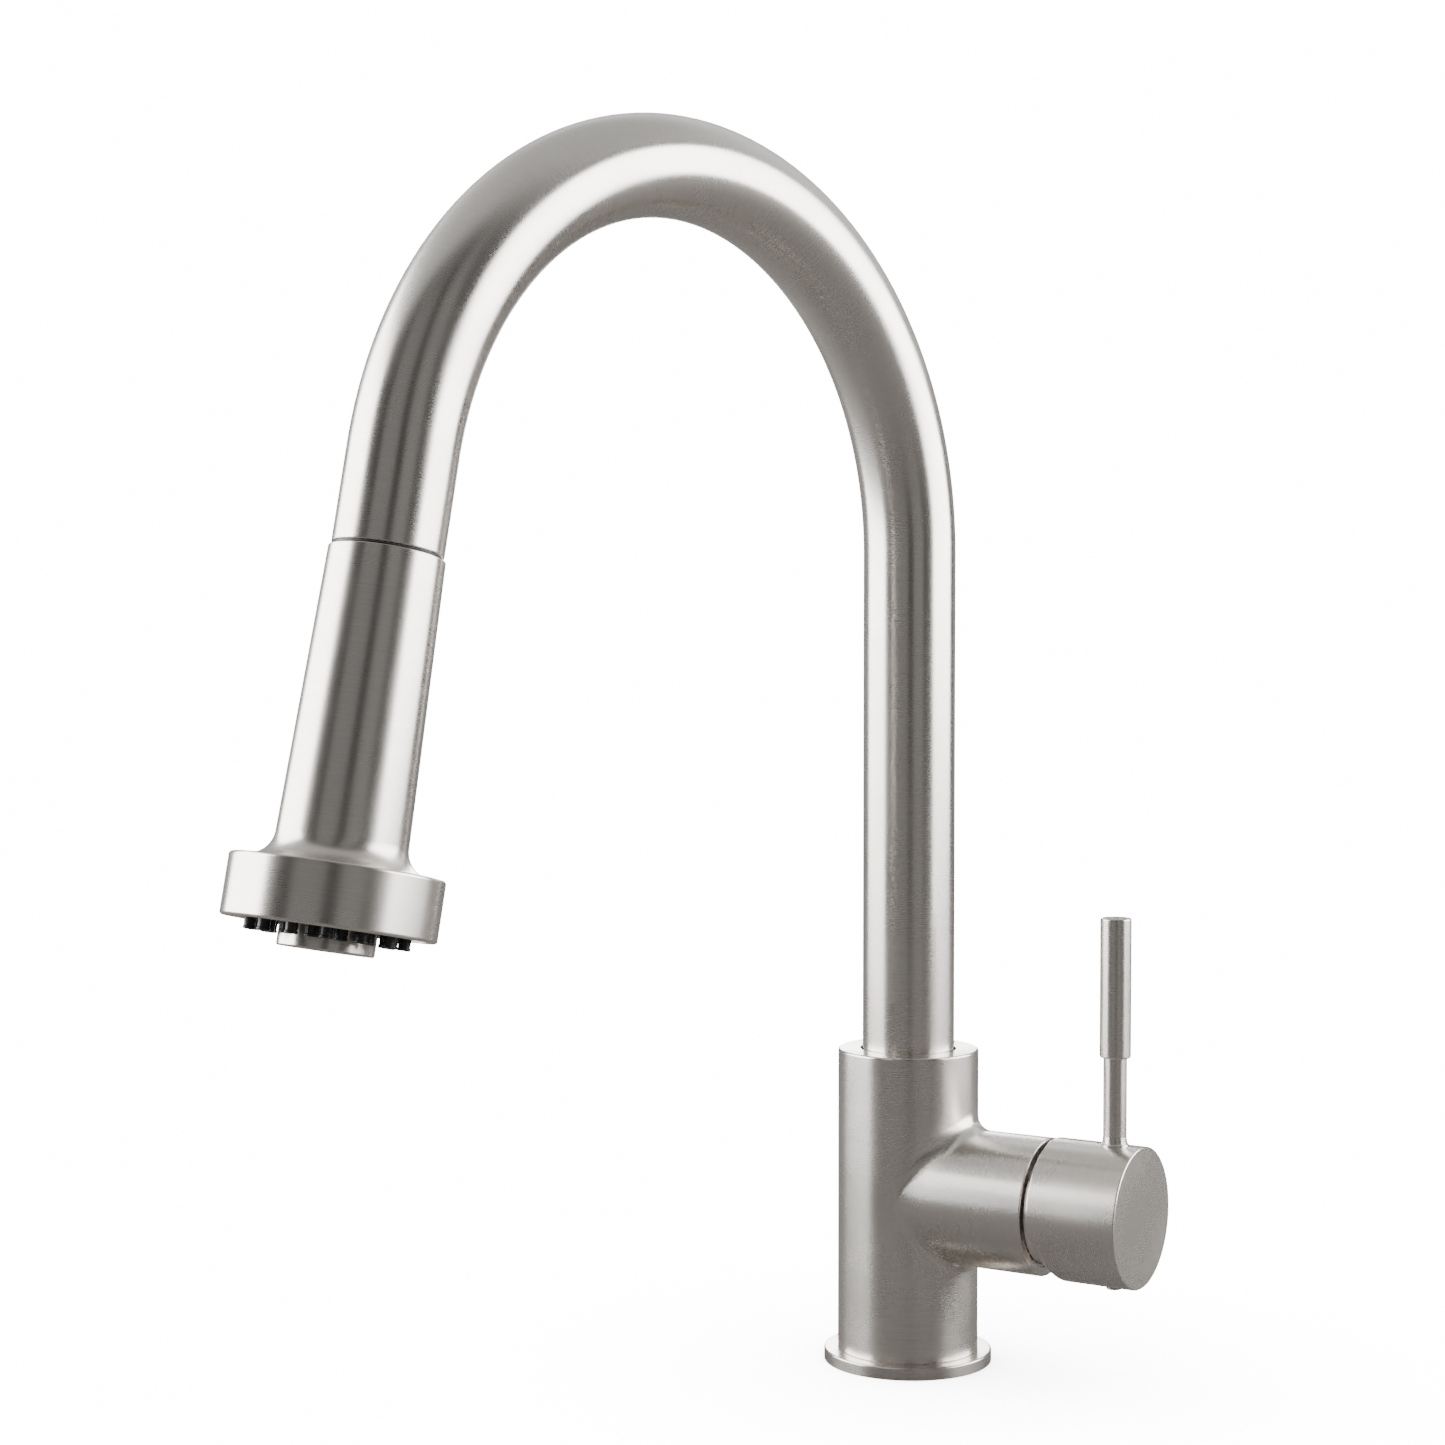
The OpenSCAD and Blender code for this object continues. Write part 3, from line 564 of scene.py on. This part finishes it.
# A grub screw with a hexagon socket: in the socket r = apothem share / cos(a wrapped to 60 degrees)
def makeScrew(name, origin, axis, length, body, replaces):
    radius, socket, floor = screw["radius"], screw["socket"], length - screw["socketDepth"]
    outline = rounded([
        (0, 0), (radius * 0.8, 0), (radius, 1.0), (radius, length, 0.25), (screw["mouth"], length, 0.08),
        (socket, length - 0.3), (socket, floor), (0, floor - 0.3)], hold=0.03)
    a = np.linspace(0, 2 * math.pi, screw["columns"], endpoint=False)
    hexagon = screw["apothem"] / np.cos((a + math.pi / 6) % (math.pi / 3) - math.pi / 6)
    inSocket = (outline[:, 0] < socket + 0.05) & (outline[:, 1] > floor - 0.1)
    factor = np.where(inSocket[:, None], hexagon, 1)[..., None]
    grid = turned(outline, origin, axis, columns=screw["columns"], factor=factor)
    buildPiece(name, [grid], screwSteel, body, replaces)


def makeScrews():
    low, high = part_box("spout_retaining_screw")
    middle = (low + high) / 2
    makeScrew("spout_retaining_screw_cut", (middle.x, low.y, middle.z), (0, 1, 0),
              (high.y - low.y) / mm, "faucet_body", ["spout_retaining_screw"])
    low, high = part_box("handle_set_screw")
    middle = (low + high) / 2
    makeScrew("handle_set_screw_cut", (middle.x, middle.y, high.z), (0, 0, -1),
              (high.z - low.z) / mm, "handle", ["handle_set_screw"])


makeFlange()
makeBody()
makeDome()
makeScrews()
print("base and body made")


cap = {"cavity": 20.4, "cavityEnd": 62.3, "frontEdge": 0.5, "rearEdge": 0.3, "reliefGap": 0.4}


# The cap is turned round the housing's axis, with its face brushed straight across. Its rear edge is
# cut back by a plane, which lies just clear of the housing when the lever is fully open:
# x = pivot + (gap - r sin a sin tilt) / cos tilt.
def makeCap():
    low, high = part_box("handle_cap")
    pivotX, _, axisZ = np.array(joints["handle_turn"]["pos_m"]) / mm
    radius, start, end = high.y / mm, low.x / mm, high.x / mm
    tilt = math.radians(joints["handle_tilt"]["range_deg"][1])
    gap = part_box("valve_body")[1].x / mm + cap["reliefGap"] - pivotX
    a = np.linspace(0, 2 * math.pi, 216, endpoint=False)
    rear = lambda r: np.maximum(start, pivotX + (gap - r * np.sin(a) * math.sin(tilt)) / math.cos(tilt))
    edge, inner, frontEdge = cap["rearEdge"], cap["cavity"], cap["frontEdge"]
    flat = cap["cavityEnd"] + 0 * a
    turn = np.linspace(0, math.pi / 2, 5)
    rows = [(0, flat), (inner - 0.1, flat), (inner, flat - 0.1), (inner, rear(inner) + edge + 0.1)]
    rows += [(inner + edge * (1 - math.cos(q)), rear(inner) + edge * (1 - math.sin(q))) for q in turn]
    rows += [(radius - edge * (1 - math.sin(q)), rear(radius) + edge * (1 - math.cos(q))) for q in turn]
    front = end - frontEdge
    first = rear(radius) + edge + 0.1
    rows += [(radius, first + (front - 0.1 - first) * t) for t in np.linspace(0, 1, 12)]
    rows += [(radius - frontEdge * (1 - math.cos(q)), front + frontEdge * math.sin(q) + 0 * a) for q in turn]
    rows += [(r, end + 0 * a) for r in np.linspace(radius - frontEdge - 0.12, 0, 9)]
    r = np.array([row[0] for row in rows])[:, None]
    x = np.array([row[1] for row in rows])
    points = np.stack([x, r * np.cos(a), axisZ + r * np.sin(a)], -1)
    around = np.stack([0 * a, -np.sin(a), np.cos(a)], -1)
    onFace = (x > front + 0.3)[..., None]
    space = np.stack(np.broadcast_arrays(brushCircle * np.cos(a), brushCircle * np.sin(a), x), -1)
    faceSpace = np.stack([points[..., 1], 0 * x, points[..., 2]], -1)
    brush = np.where(onFace, (0.0, 1.0, 0.0), around)
    grid = block(points * mm, brush, np.where(onFace, faceSpace, space) * mm)
    buildPiece("handle_cap_turned", [grid], nickel, "handle", ["handle_cap"])


lever = {"stem": 3.7, "foot": 4.4, "footHeight": 2.4, "bevel": 0.55, "sink": 2.0}


# The stem stands in the cap on a short flared foot, and the grip is a plain bar on its end
def makeLever():
    low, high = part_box("lever_grip")
    axisX = (low.x + high.x) / 2
    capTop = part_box("handle_cap")[1].z / mm
    gripLow, gripHigh, gripR = low.z / mm, high.z / mm, (high.x - axisX) / mm
    foot = capTop + 0.3
    stem = rounded([
        (0, capTop - lever["sink"]), (lever["foot"], capTop - lever["sink"]), (lever["foot"], foot, 0.2),
        (lever["stem"] + 0.25, foot + 0.3, 0.2), (lever["stem"], foot + lever["footHeight"], 1.0),
        (lever["stem"], gripLow + 1), (0, gripLow + 1)], hold=0.05)
    buildPiece("lever_stem_turned", [turned(divided(stem, 3), (axisX, 0, 0), columns=80)], nickel, "handle",
               ["lever_stem"])
    bevel = lever["bevel"]
    grip = rounded([(0, gripLow), (gripR, gripLow, bevel), (gripR, gripHigh, bevel), (0, gripHigh)])
    buildPiece("lever_grip_turned", [turned(divided(grip, 3), (axisX, 0, 0), columns=96)], nickel, "handle",
               ["lever_grip"])


makeCap()
makeLever()
print("handle made")


seam = np.array(joints["head_turn"]["pos_m"])
headAxis = unit(joints["head_turn"]["axis"])
spout = {"radius": 15.0, "wall": 1.5, "bend": 111.0, "bendStart": 265.0, "foot": 97.0, "edge": 0.35}
outward = unit([headAxis[0], headAxis[1], 0])  # from the riser towards the head
bendAngle = math.pi - math.acos(-headAxis[2])


# The spout's middle line, by the distance gone from the deck: up, round the bend and straight down the end.
# Gives the place, the direction and the direction out of the bend at each distance, in millimetres.
def spoutLine(s):
    s = np.asarray(s, float)[:, None]
    up = np.array([0, 0, 1.0])
    angle = np.clip((s - spout["bendStart"]) / spout["bend"], 0, bendAngle)
    before = np.minimum(s, spout["bendStart"])
    after = np.maximum(s - spout["bendStart"] - spout["bend"] * bendAngle, 0)
    direction = np.cos(angle) * up + np.sin(angle) * outward
    outOfBend = np.sin(angle) * up - np.cos(angle) * outward
    centre = spout["bend"] * outward
    places = before * up + np.where(angle > 0, centre + spout["bend"] * outOfBend, 0) + after * direction
    return places, direction, outOfBend


# The whole length of the middle line, from the deck to the seam above the head
def lineLength():
    bendEnd = spoutLine([spout["bendStart"] + spout["bend"] * bendAngle])[0][0]
    return spout["bendStart"] + spout["bend"] * bendAngle + float((seam / mm - bendEnd) @ headAxis)


# A tube of changing radius carried along the spout's line, from rows of (distance, radius)
def alongSpout(rows, columns):
    places, direction, outOfBend = spoutLine(rows[:, 0])
    side = np.cross(direction, outOfBend)
    a = np.linspace(0, 2 * math.pi, columns, endpoint=False)[None, :, None]
    radial = np.cos(a) * outOfBend[:, None] + np.sin(a) * side[:, None]
    around = np.cos(a) * side[:, None] - np.sin(a) * outOfBend[:, None]
    points = places[:, None] + rows[:, 1, None, None] * radial
    circle = brushCircle * np.cos(a), brushCircle * np.sin(a)
    space = np.concatenate(np.broadcast_arrays(*circle, rows[:, 0, None, None]), -1)
    return block(points * mm, around, space * mm, wrapRows=True)


# The bent tube, and the collar in its end that the head docks on
def makeSpout():
    end, r, inner = lineLength(), spout["radius"], spout["radius"] - spout["wall"]
    outline = rounded([
        (inner, spout["foot"]), (r, spout["foot"]), (r, end, spout["edge"]), (inner, end, 0.15)])
    buildPiece("spout_tube_bent", [alongSpout(divided(outline, 4)[:, ::-1], 128)], nickel, "spout",
               ["spout_tube"])
    dock = rounded([(9, -24), (13.45, -24), (13.45, 0), (14.4, 0, 0.1), (14.4, 0.5, 0.15), (12.2, 0.5, 0.3),
                    (11.3, -16), (9, -18, 0.4)])
    buildPiece("docking_collar_moulded", [turned(divided(dock, 3), seam, headAxis)], darkPlastic, "spout",
               ["docking_collar"])


hose = {
    "radius": 6.0, "bore": 4.0, "endBack": 16.9, "stretchFrom": 34.0, "joinBefore": 3.0,
    "columns": 32, "step": 2.0,
}


# One stretch of the hose, a tube with its bore, from the distances of its rows
def makeHosePart(name, part, body, rows, evenly):
    outer = np.stack([part, np.full(len(part), hose["radius"])], -1)
    inner = np.stack([part[::-1], np.full(len(part), hose["bore"])], -1)
    grid = alongSpout(np.concatenate([outer, inner]), hose["columns"])
    piece = buildPiece(name, [grid], braid, body, ["spray_hose"])
    layBraid(piece, rows, evenly)
    return piece


# The hose follows the spout's line, in two pieces that meet inside the tube: the route, which stays
# in the spout, and the end, which is drawn out with the head. Between the two ends of its stretch the
# rows stand close together, so that they are evenly apart when the head is pulled out:
# pulled = s + travel w, w = 3t^2 - 2t^3.
def makeHose():
    travel = joints["head_pull"]["range_m"][1] / mm
    first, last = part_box("spray_hose")[0].z / mm, lineLength() - hose["endBack"]
    stretch0, stretch1 = lineLength() - hose["stretchFrom"], last
    s = np.linspace(first, last, 4000)
    t = np.clip((s - stretch0) / (stretch1 - stretch0), 0, 1)
    pulled = s + travel * t * t * (3 - 2 * t)
    count = int((pulled[-1] - pulled[0]) / hose["step"])
    evenly = np.linspace(pulled[0], pulled[-1], count)
    rows = np.interp(evenly, pulled, s)
    join = int(np.searchsorted(rows, stretch0 - hose["joinBefore"]))
    makeHosePart("hose_route_braided", rows[:join + 1], "spout", rows, evenly)
    drawnOut = makeHosePart("hose_end_braided", rows[join:], None, rows, evenly)
    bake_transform(drawnOut)


# The braid's map: u is the share of a turn round the hose, v the pulled-out distance in metres.
# A loop's u is taken from the middle of its face, so that no face is stretched over the seam.
def layBraid(piece, rows, evenly):
    mesh = piece.data
    space = np.zeros(len(mesh.vertices) * 3, np.float32)
    mesh.attributes["space"].data.foreach_get("vector", space)
    space = space.reshape(-1, 3).astype(float) / mm
    u = (np.arctan2(space[:, 1], space[:, 0]) / (2 * math.pi)) % 1
    v = np.interp(space[:, 2], rows, evenly) * mm
    loops = np.zeros(len(mesh.loops), np.int32)
    mesh.loops.foreach_get("vertex_index", loops)
    corner = u[loops].reshape(-1, 4)
    corner = np.where(corner.max(1, keepdims=True) - corner > 0.5, corner + 1, corner)
    layer = mesh.uv_layers.new(name="route")
    layer.data.foreach_set("uv", np.stack([corner.ravel(), v[loops]], -1).astype(np.float32).ravel())


ferrule = {
    "low": -32.5, "high": -16.5, "radius": 7.6, "crimped": 7.15, "bore": 6.1,
    "crimps": 3, "firstCrimp": 2.6, "pitch": 4.0,
}


# The crimped sleeve that holds the hose to the swivel
def makeFerrule():
    z0, z1, r, crimped, bore = (ferrule[key] for key in ("low", "high", "radius", "crimped", "bore"))
    crimps = []
    for k in range(ferrule["crimps"]):
        z = z0 + ferrule["firstCrimp"] + ferrule["pitch"] * k
        crimps += [(r, z, 0.3), (crimped, z + 0.6, 0.3), (crimped, z + 2.2, 0.3), (r, z + 2.8, 0.3)]
    outline = rounded([(bore, z0, 0.15), (r, z0, 0.4), *crimps, (r, z1, 0.4), (bore, z1, 0.15)], hold=0.04)
    grid = turned(outline, seam, headAxis, columns=72)
    buildPiece("hose_head_ferrule_crimped", [grid], screwSteel, "hose_end",
               ["hose_head_ferrule"])


makeSpout()
makeHose()
makeFerrule()
print("spout and hose made")


head = {
    "top": 0.9, "topRadius": 15.6, "lowRadius": 17.6, "length": 84.0, "disc": 28.3, "discHeight": 16.6,
    "fillet": 7.0, "edge": 0.9, "wall": 1.5, "collar": 12.8, "collarOut": 5.7,
}


# The shell goes down the outside, over the disc and back up inside, and the plate closes the disc
def makeHead():
    h = head
    bottom = h["length"] + h["discHeight"]
    rim = h["disc"] - h["wall"]
    outline = rounded([
        (h["topRadius"], h["top"], 0.35), (h["lowRadius"], h["length"], h["fillet"]),
        (h["disc"], h["length"], h["edge"]), (h["disc"], bottom, h["edge"]), (rim, bottom, 0.3),
        (rim, h["length"] + h["wall"]), (16, h["length"] + h["wall"]), (16, h["length"] - h["fillet"]),
        (14.1, h["length"] - h["fillet"] - 4), (14.1, h["top"], 0.2)], steps=12)
    shell = turned(divided(outline, 4), seam, headAxis, columns=192)
    buildPiece("head_shell_spun", [shell], nickel, "spray_head", ["head_shell"])
    hole = h["collar"] + 0.4
    plate = rounded([
        (hole, bottom - 3), (rim - 0.05, bottom - 3), (rim - 0.05, bottom - 1, 0.15), (rim - 1.0, bottom - 1),
        (rim - 1.15, bottom - 1.12), (rim - 1.4, bottom - 1.12), (rim - 1.55, bottom - 1),
        (hole, bottom - 1, 0.2)])
    face = turned(divided(plate, 2), seam, headAxis, columns=160)
    buildPiece("face_plate_turned", [face], faceMetal, "spray_head", ["face_plate"])


nozzles = {
    "count": 14, "outerRing": 20.4, "innerRing": 16.6, "radius": 1.65, "out": 2.7, "lip": 0.12,
    "matRadius": 24.5,
}


# Two staggered rings of soft nozzles, each turned about a line beside the head's axis, and the mat
# behind them
def makeNozzles():
    first, second = sideways(headAxis, (1, 0, 0))
    face = head["length"] + head["discHeight"] - 1
    tip, r, lip = face + 1 + nozzles["out"], nozzles["radius"], nozzles["radius"] + nozzles["lip"]
    outline = rounded([
        (0, face - 1.5), (r, face - 1.5), (r + 0.55, face - 0.2), (r + 0.5, face + 0.18, 0.12),
        (r + 0.05, face + 0.5, 0.3), (r - 0.08, tip - 0.75, 0.1), (lip, tip - 0.6, 0.08), (lip, tip, 0.22),
        (0.75, tip, 0.12), (0.6, tip - 0.3), (0.55, tip - 1.6), (0, tip - 1.7)], steps=3, hold=0.02)
    blocks = []
    for ring, shift in ((nozzles["outerRing"], 0), (nozzles["innerRing"], 0.5)):
        for k in range(nozzles["count"]):
            a = 2 * math.pi * (k + shift) / nozzles["count"]
            origin = seam + ring * mm * (math.cos(a) * first + math.sin(a) * second)
            blocks.append(turned(outline, origin, headAxis, columns=28))
    matR, hole = nozzles["matRadius"], head["collar"] + 0.8
    mat = rounded([(hole, face - 3.8), (matR, face - 3.8, 0.3), (matR, face - 2, 0.3), (hole, face - 2)])
    blocks.append(turned(mat, seam, headAxis, columns=96))
    buildPiece("nozzle_mat_moulded", blocks, rubber, "spray_head", ["nozzle_mat"])


aerator = {"back": 87.0, "shelf": 90.0, "seat": 92.0, "backBore": 8.0, "seatBore": 7.0, "rim": 1.6}


# The collar round the stream, and the mesh screen set into it
def makeAerator():
    r, tip = head["collar"], head["length"] + head["discHeight"] + head["collarOut"]
    back, shelf, seat = aerator["back"], aerator["shelf"], aerator["seat"]
    backBore, seatBore, inner = aerator["backBore"], aerator["seatBore"], r - aerator["rim"]
    collar = rounded([
        (backBore, back), (r, back, 0.2), (r, tip, 0.5), (r - 0.9, tip, 0.3), (inner, tip - 0.9, 0.3),
        (inner, seat), (seatBore, seat), (seatBore, shelf), (backBore, shelf)], hold=0.05)
    buildPiece("aerator_collar_turned", [turned(divided(collar, 2), seam, headAxis)], nickel, "aerator",
               ["aerator_collar"])
    makeScreen(inner - 0.05, seat + 0.2, tip - 1.2)


screen = {"rows": 70, "cell": 1.5, "cellDepth": 0.9, "sharpness": 8}


# The screen is a round grid with square cells sunk between its wires:
# z = face - depth (1 - w), w = max(|cos kx|, |cos ky|) to the power of the sharpness
def makeScreen(radius, low, high):
    first, second = sideways(headAxis, (1, 0, 0))
    a = np.linspace(0, 2 * math.pi, 240, endpoint=False)[None]
    rim = [radius - 0.75, radius - 0.7, radius - 0.1, radius, radius, 0]
    r = np.concatenate([np.linspace(0, radius - 0.9, screen["rows"]), rim])
    flat = np.full(len(r), high)
    flat[-3:] = (high - 0.12, low, low)
    x, y = r[:, None] * np.cos(a), r[:, None] * np.sin(a)
    k = math.pi / screen["cell"]
    wires = np.maximum(np.abs(np.cos(k * x)), np.abs(np.cos(k * y))) ** screen["sharpness"]
    inScreen = (np.arange(len(r)) < screen["rows"])[:, None]
    depth = np.where(inScreen, screen["cellDepth"] * (1 - wires), 0)
    z = flat[:, None] - depth
    points = seam + mm * (z[..., None] * headAxis + x[..., None] * first + y[..., None] * second)
    around = np.cos(a)[..., None] * second - np.sin(a)[..., None] * first
    circle = brushCircle * np.cos(a), brushCircle * np.sin(a)
    space = np.stack(np.broadcast_arrays(*circle, r[:, None]), -1) * mm
    grid = block(points, np.broadcast_to(around, points.shape), space)
    buildPiece("aerator_screen", [grid], darkPlastic, "aerator", ["aerator_insert"])


makeHead()
makeNozzles()
makeAerator()
print("spray head made")


keptPieces = {
    "base_gasket": (rubber, "black_rubber"),
    "cartridge_seals": (rubber, "black_rubber"),
    "spout_o_rings": (rubber, "black_rubber"),
    "swivel_o_ring": (rubber, "black_rubber"),
    "cartridge_base": (cartridgePlastic, "cartridge_plastic"),
    "cartridge_shell": (cartridgePlastic, "cartridge_plastic"),
    "rotor_guide": (cartridgePlastic, "cartridge_plastic"),
    "head_core": (cartridgePlastic, "cartridge_plastic"),
    "spout_bearing_ring": (cartridgePlastic, "cartridge_plastic"),
    "fixed_ceramic_disc": (ceramic, "disc_ceramic"),
    "moving_ceramic_disc": (ceramic, "disc_ceramic"),
    "disc_carrier": (darkPlastic, "dark_plastic"),
    "diverter_spool": (darkPlastic, "dark_plastic"),
    "check_valve": (valveBlue, "dark_plastic"),
    "retaining_nut": (steel, "steel_screw"),
    "spout_spigot": (brass, "turned_brass"),
    "swivel_connector": (brass, "turned_brass"),
    "pivot_pin": (steel, "steel_screw"),
    "cartridge_stem": (steel, "steel_screw"),
    "hose_tail_ferrule": (steel, "steel_screw"),
    "swivel_clip": (steel, "steel_screw"),
    "diverter_spring": (steel, "steel_screw"),
}
for nodeName, (material, slotName) in keptPieces.items():
    node = frame["nodes"][nodeName]
    node.data.materials.clear()
    node.data.materials.append(material)
print("kept pieces given their materials")


camera = {
    "azimuth": 31.52, "elevation": 2.19, "distance": 0.8741,
    "aimSide": -0.0611, "aimHeight": 0.2099, "lens": 66.54,
}


# A level direction at an angle to the right of the camera as seen from the object
def fromCamera(degrees):
    a = math.radians(camera["azimuth"] + degrees)
    return Vector((math.sin(a), -math.cos(a), 0))


def makeCamera():
    e = math.radians(camera["elevation"])
    back = fromCamera(0) * math.cos(e) + Vector((0, 0, math.sin(e)))
    aim = fromCamera(90) * camera["aimSide"] + Vector((0, 0, camera["aimHeight"]))
    lens = bpy.data.cameras.new("camera")
    lens.lens = camera["lens"]
    lens.clip_start, lens.clip_end = 0.02, 30
    seat = bpy.data.objects.new("camera", lens)
    seat.location = aim + back * camera["distance"]
    seat.rotation_euler = (-back).to_track_quat("-Z", "Y").to_euler()
    bpy.context.scene.collection.objects.link(seat)
    bpy.context.scene.camera = seat


# Each light: angle to the right of the camera, distance, height, width, tall, brightness,
# and lean, which is 0 for an upright panel and 1 for one that faces the faucet from above
lights = {
    "leftPanel": {
        "angle": -96, "distance": 1.6, "height": 0.72, "width": 1.72, "tall": 1.4,
        "brightness": 9.5, "lean": 0,
    },
    "rightPanel": {
        "angle": 88, "distance": 1.3, "height": 0.66, "width": 1.5, "tall": 1.06,
        "brightness": 10, "lean": 0,
    },
    "backPanel": {
        "angle": 180, "distance": 1.7, "height": 0.5, "width": 0.45, "tall": 0.28,
        "brightness": 14, "lean": 0,
    },
    "backWall": {
        "angle": 180, "distance": 1.8, "height": 1.1, "width": 3.4, "tall": 2.2,
        "brightness": 0.28, "lean": 0,
    },
    "topPanel": {
        "angle": 158, "distance": 1.5, "height": 1.4, "width": 2.4, "tall": 1.3,
        "brightness": 0.5, "lean": 0,
    },
    "ceiling": {
        "angle": 180, "distance": 0.5, "height": 1.95, "width": 4.2, "tall": 2.7,
        "brightness": 0.55, "lean": 1,
    },
    "leftCard": {
        "angle": -23, "distance": 1.5, "height": 1.0, "width": 0.85, "tall": 2.4,
        "brightness": 0.18, "lean": 0,
    },
    "rightCard": {
        "angle": 18, "distance": 1.5, "height": 1.0, "width": 0.66, "tall": 2.4,
        "brightness": 0.21, "lean": 0,
    },
}


def makeLights():
    for name, s in lights.items():
        data = bpy.data.lights.new(name, "AREA")
        data.shape, data.size, data.size_y = "RECTANGLE", s["width"], s["tall"]
        data.energy = s["brightness"] * math.pi * s["width"] * s["tall"]
        lamp = bpy.data.objects.new(name, data)
        lamp.location = fromCamera(s["angle"]) * s["distance"] + Vector((0, 0, s["height"]))
        aim = Vector((0, 0, 0.2)) - lamp.location
        aim.z *= s["lean"]
        lamp.rotation_euler = aim.to_track_quat("-Z", "Y").to_euler()
        lamp.visible_camera = False
        bpy.context.scene.collection.objects.link(lamp)


room = {
    "backdrop": 16.0, "gloss": 0.05, "floorSize": 4.0, "floorSeen": 16.0, "floorShade": 5.0,
    "floorColour": (0.15, 0.145, 0.14, 1),
}


# The backdrop and the floor are white where they are seen directly, and dim where they are
# reflected. Where the floor meets the faucet its seen white is darkened by ambient occlusion, a painted
# contact shadow.
def makeRoom():
    world = bpy.data.worlds.new("studio")
    bpy.context.scene.world = world
    world.use_nodes = True
    tree = world.node_tree
    tree.nodes.clear()
    ray = addNode(tree, "ShaderNodeLightPath")
    dim = addNode(tree, "ShaderNodeBackground", None, Color=(1, 1, 1, 1), Strength=room["gloss"])
    white = addNode(tree, "ShaderNodeBackground", None, Color=(1, 1, 1, 1), Strength=room["backdrop"])
    mix = addNode(tree, "ShaderNodeMixShader", None, i0=ray.outputs["Is Camera Ray"], i1=dim.outputs[0],
                  i2=white.outputs[0])
    addNode(tree, "ShaderNodeOutputWorld", None, Surface=mix.outputs[0])

    size = room["floorSize"]
    mesh = bpy.data.meshes.new("floor")
    corners = [(-size, -size, 0), (size, -size, 0), (size, size, 0), (-size, size, 0)]
    mesh.from_pydata(corners, [], [(0, 1, 2, 3)])
    floor = bpy.data.objects.new("floor", mesh)
    bpy.context.scene.collection.objects.link(floor)
    constants = {"Roughness": 1.0, "Specular IOR Level": 0.0, "Base Color": room["floorColour"]}
    paleFloor, tree, shader = newMaterial("paleFloor", **constants)
    mesh.materials.append(paleFloor)
    # painted contact shadow: ambient occlusion lowers the floor's seen white towards floorShade near the
    # faucet
    contactShadow = addNode(tree, "ShaderNodeAmbientOcclusion", {"samples": 8}, Distance=0.12)
    strength = remap(tree, contactShadow.outputs["AO"], 0.35, 1.0, room["floorShade"], room["floorSeen"])
    seen = addNode(tree, "ShaderNodeEmission", None, Color=(1, 1, 1, 1), Strength=strength)
    ray = addNode(tree, "ShaderNodeLightPath")
    mix = addNode(tree, "ShaderNodeMixShader", None, i0=ray.outputs["Is Camera Ray"], i1=shader.outputs[0],
                  i2=seen.outputs[0])
    tree.links.new(mix.outputs[0], tree.nodes["Material Output"].inputs["Surface"])


makeCamera()
makeLights()
makeRoom()
print("camera, floor and light made")
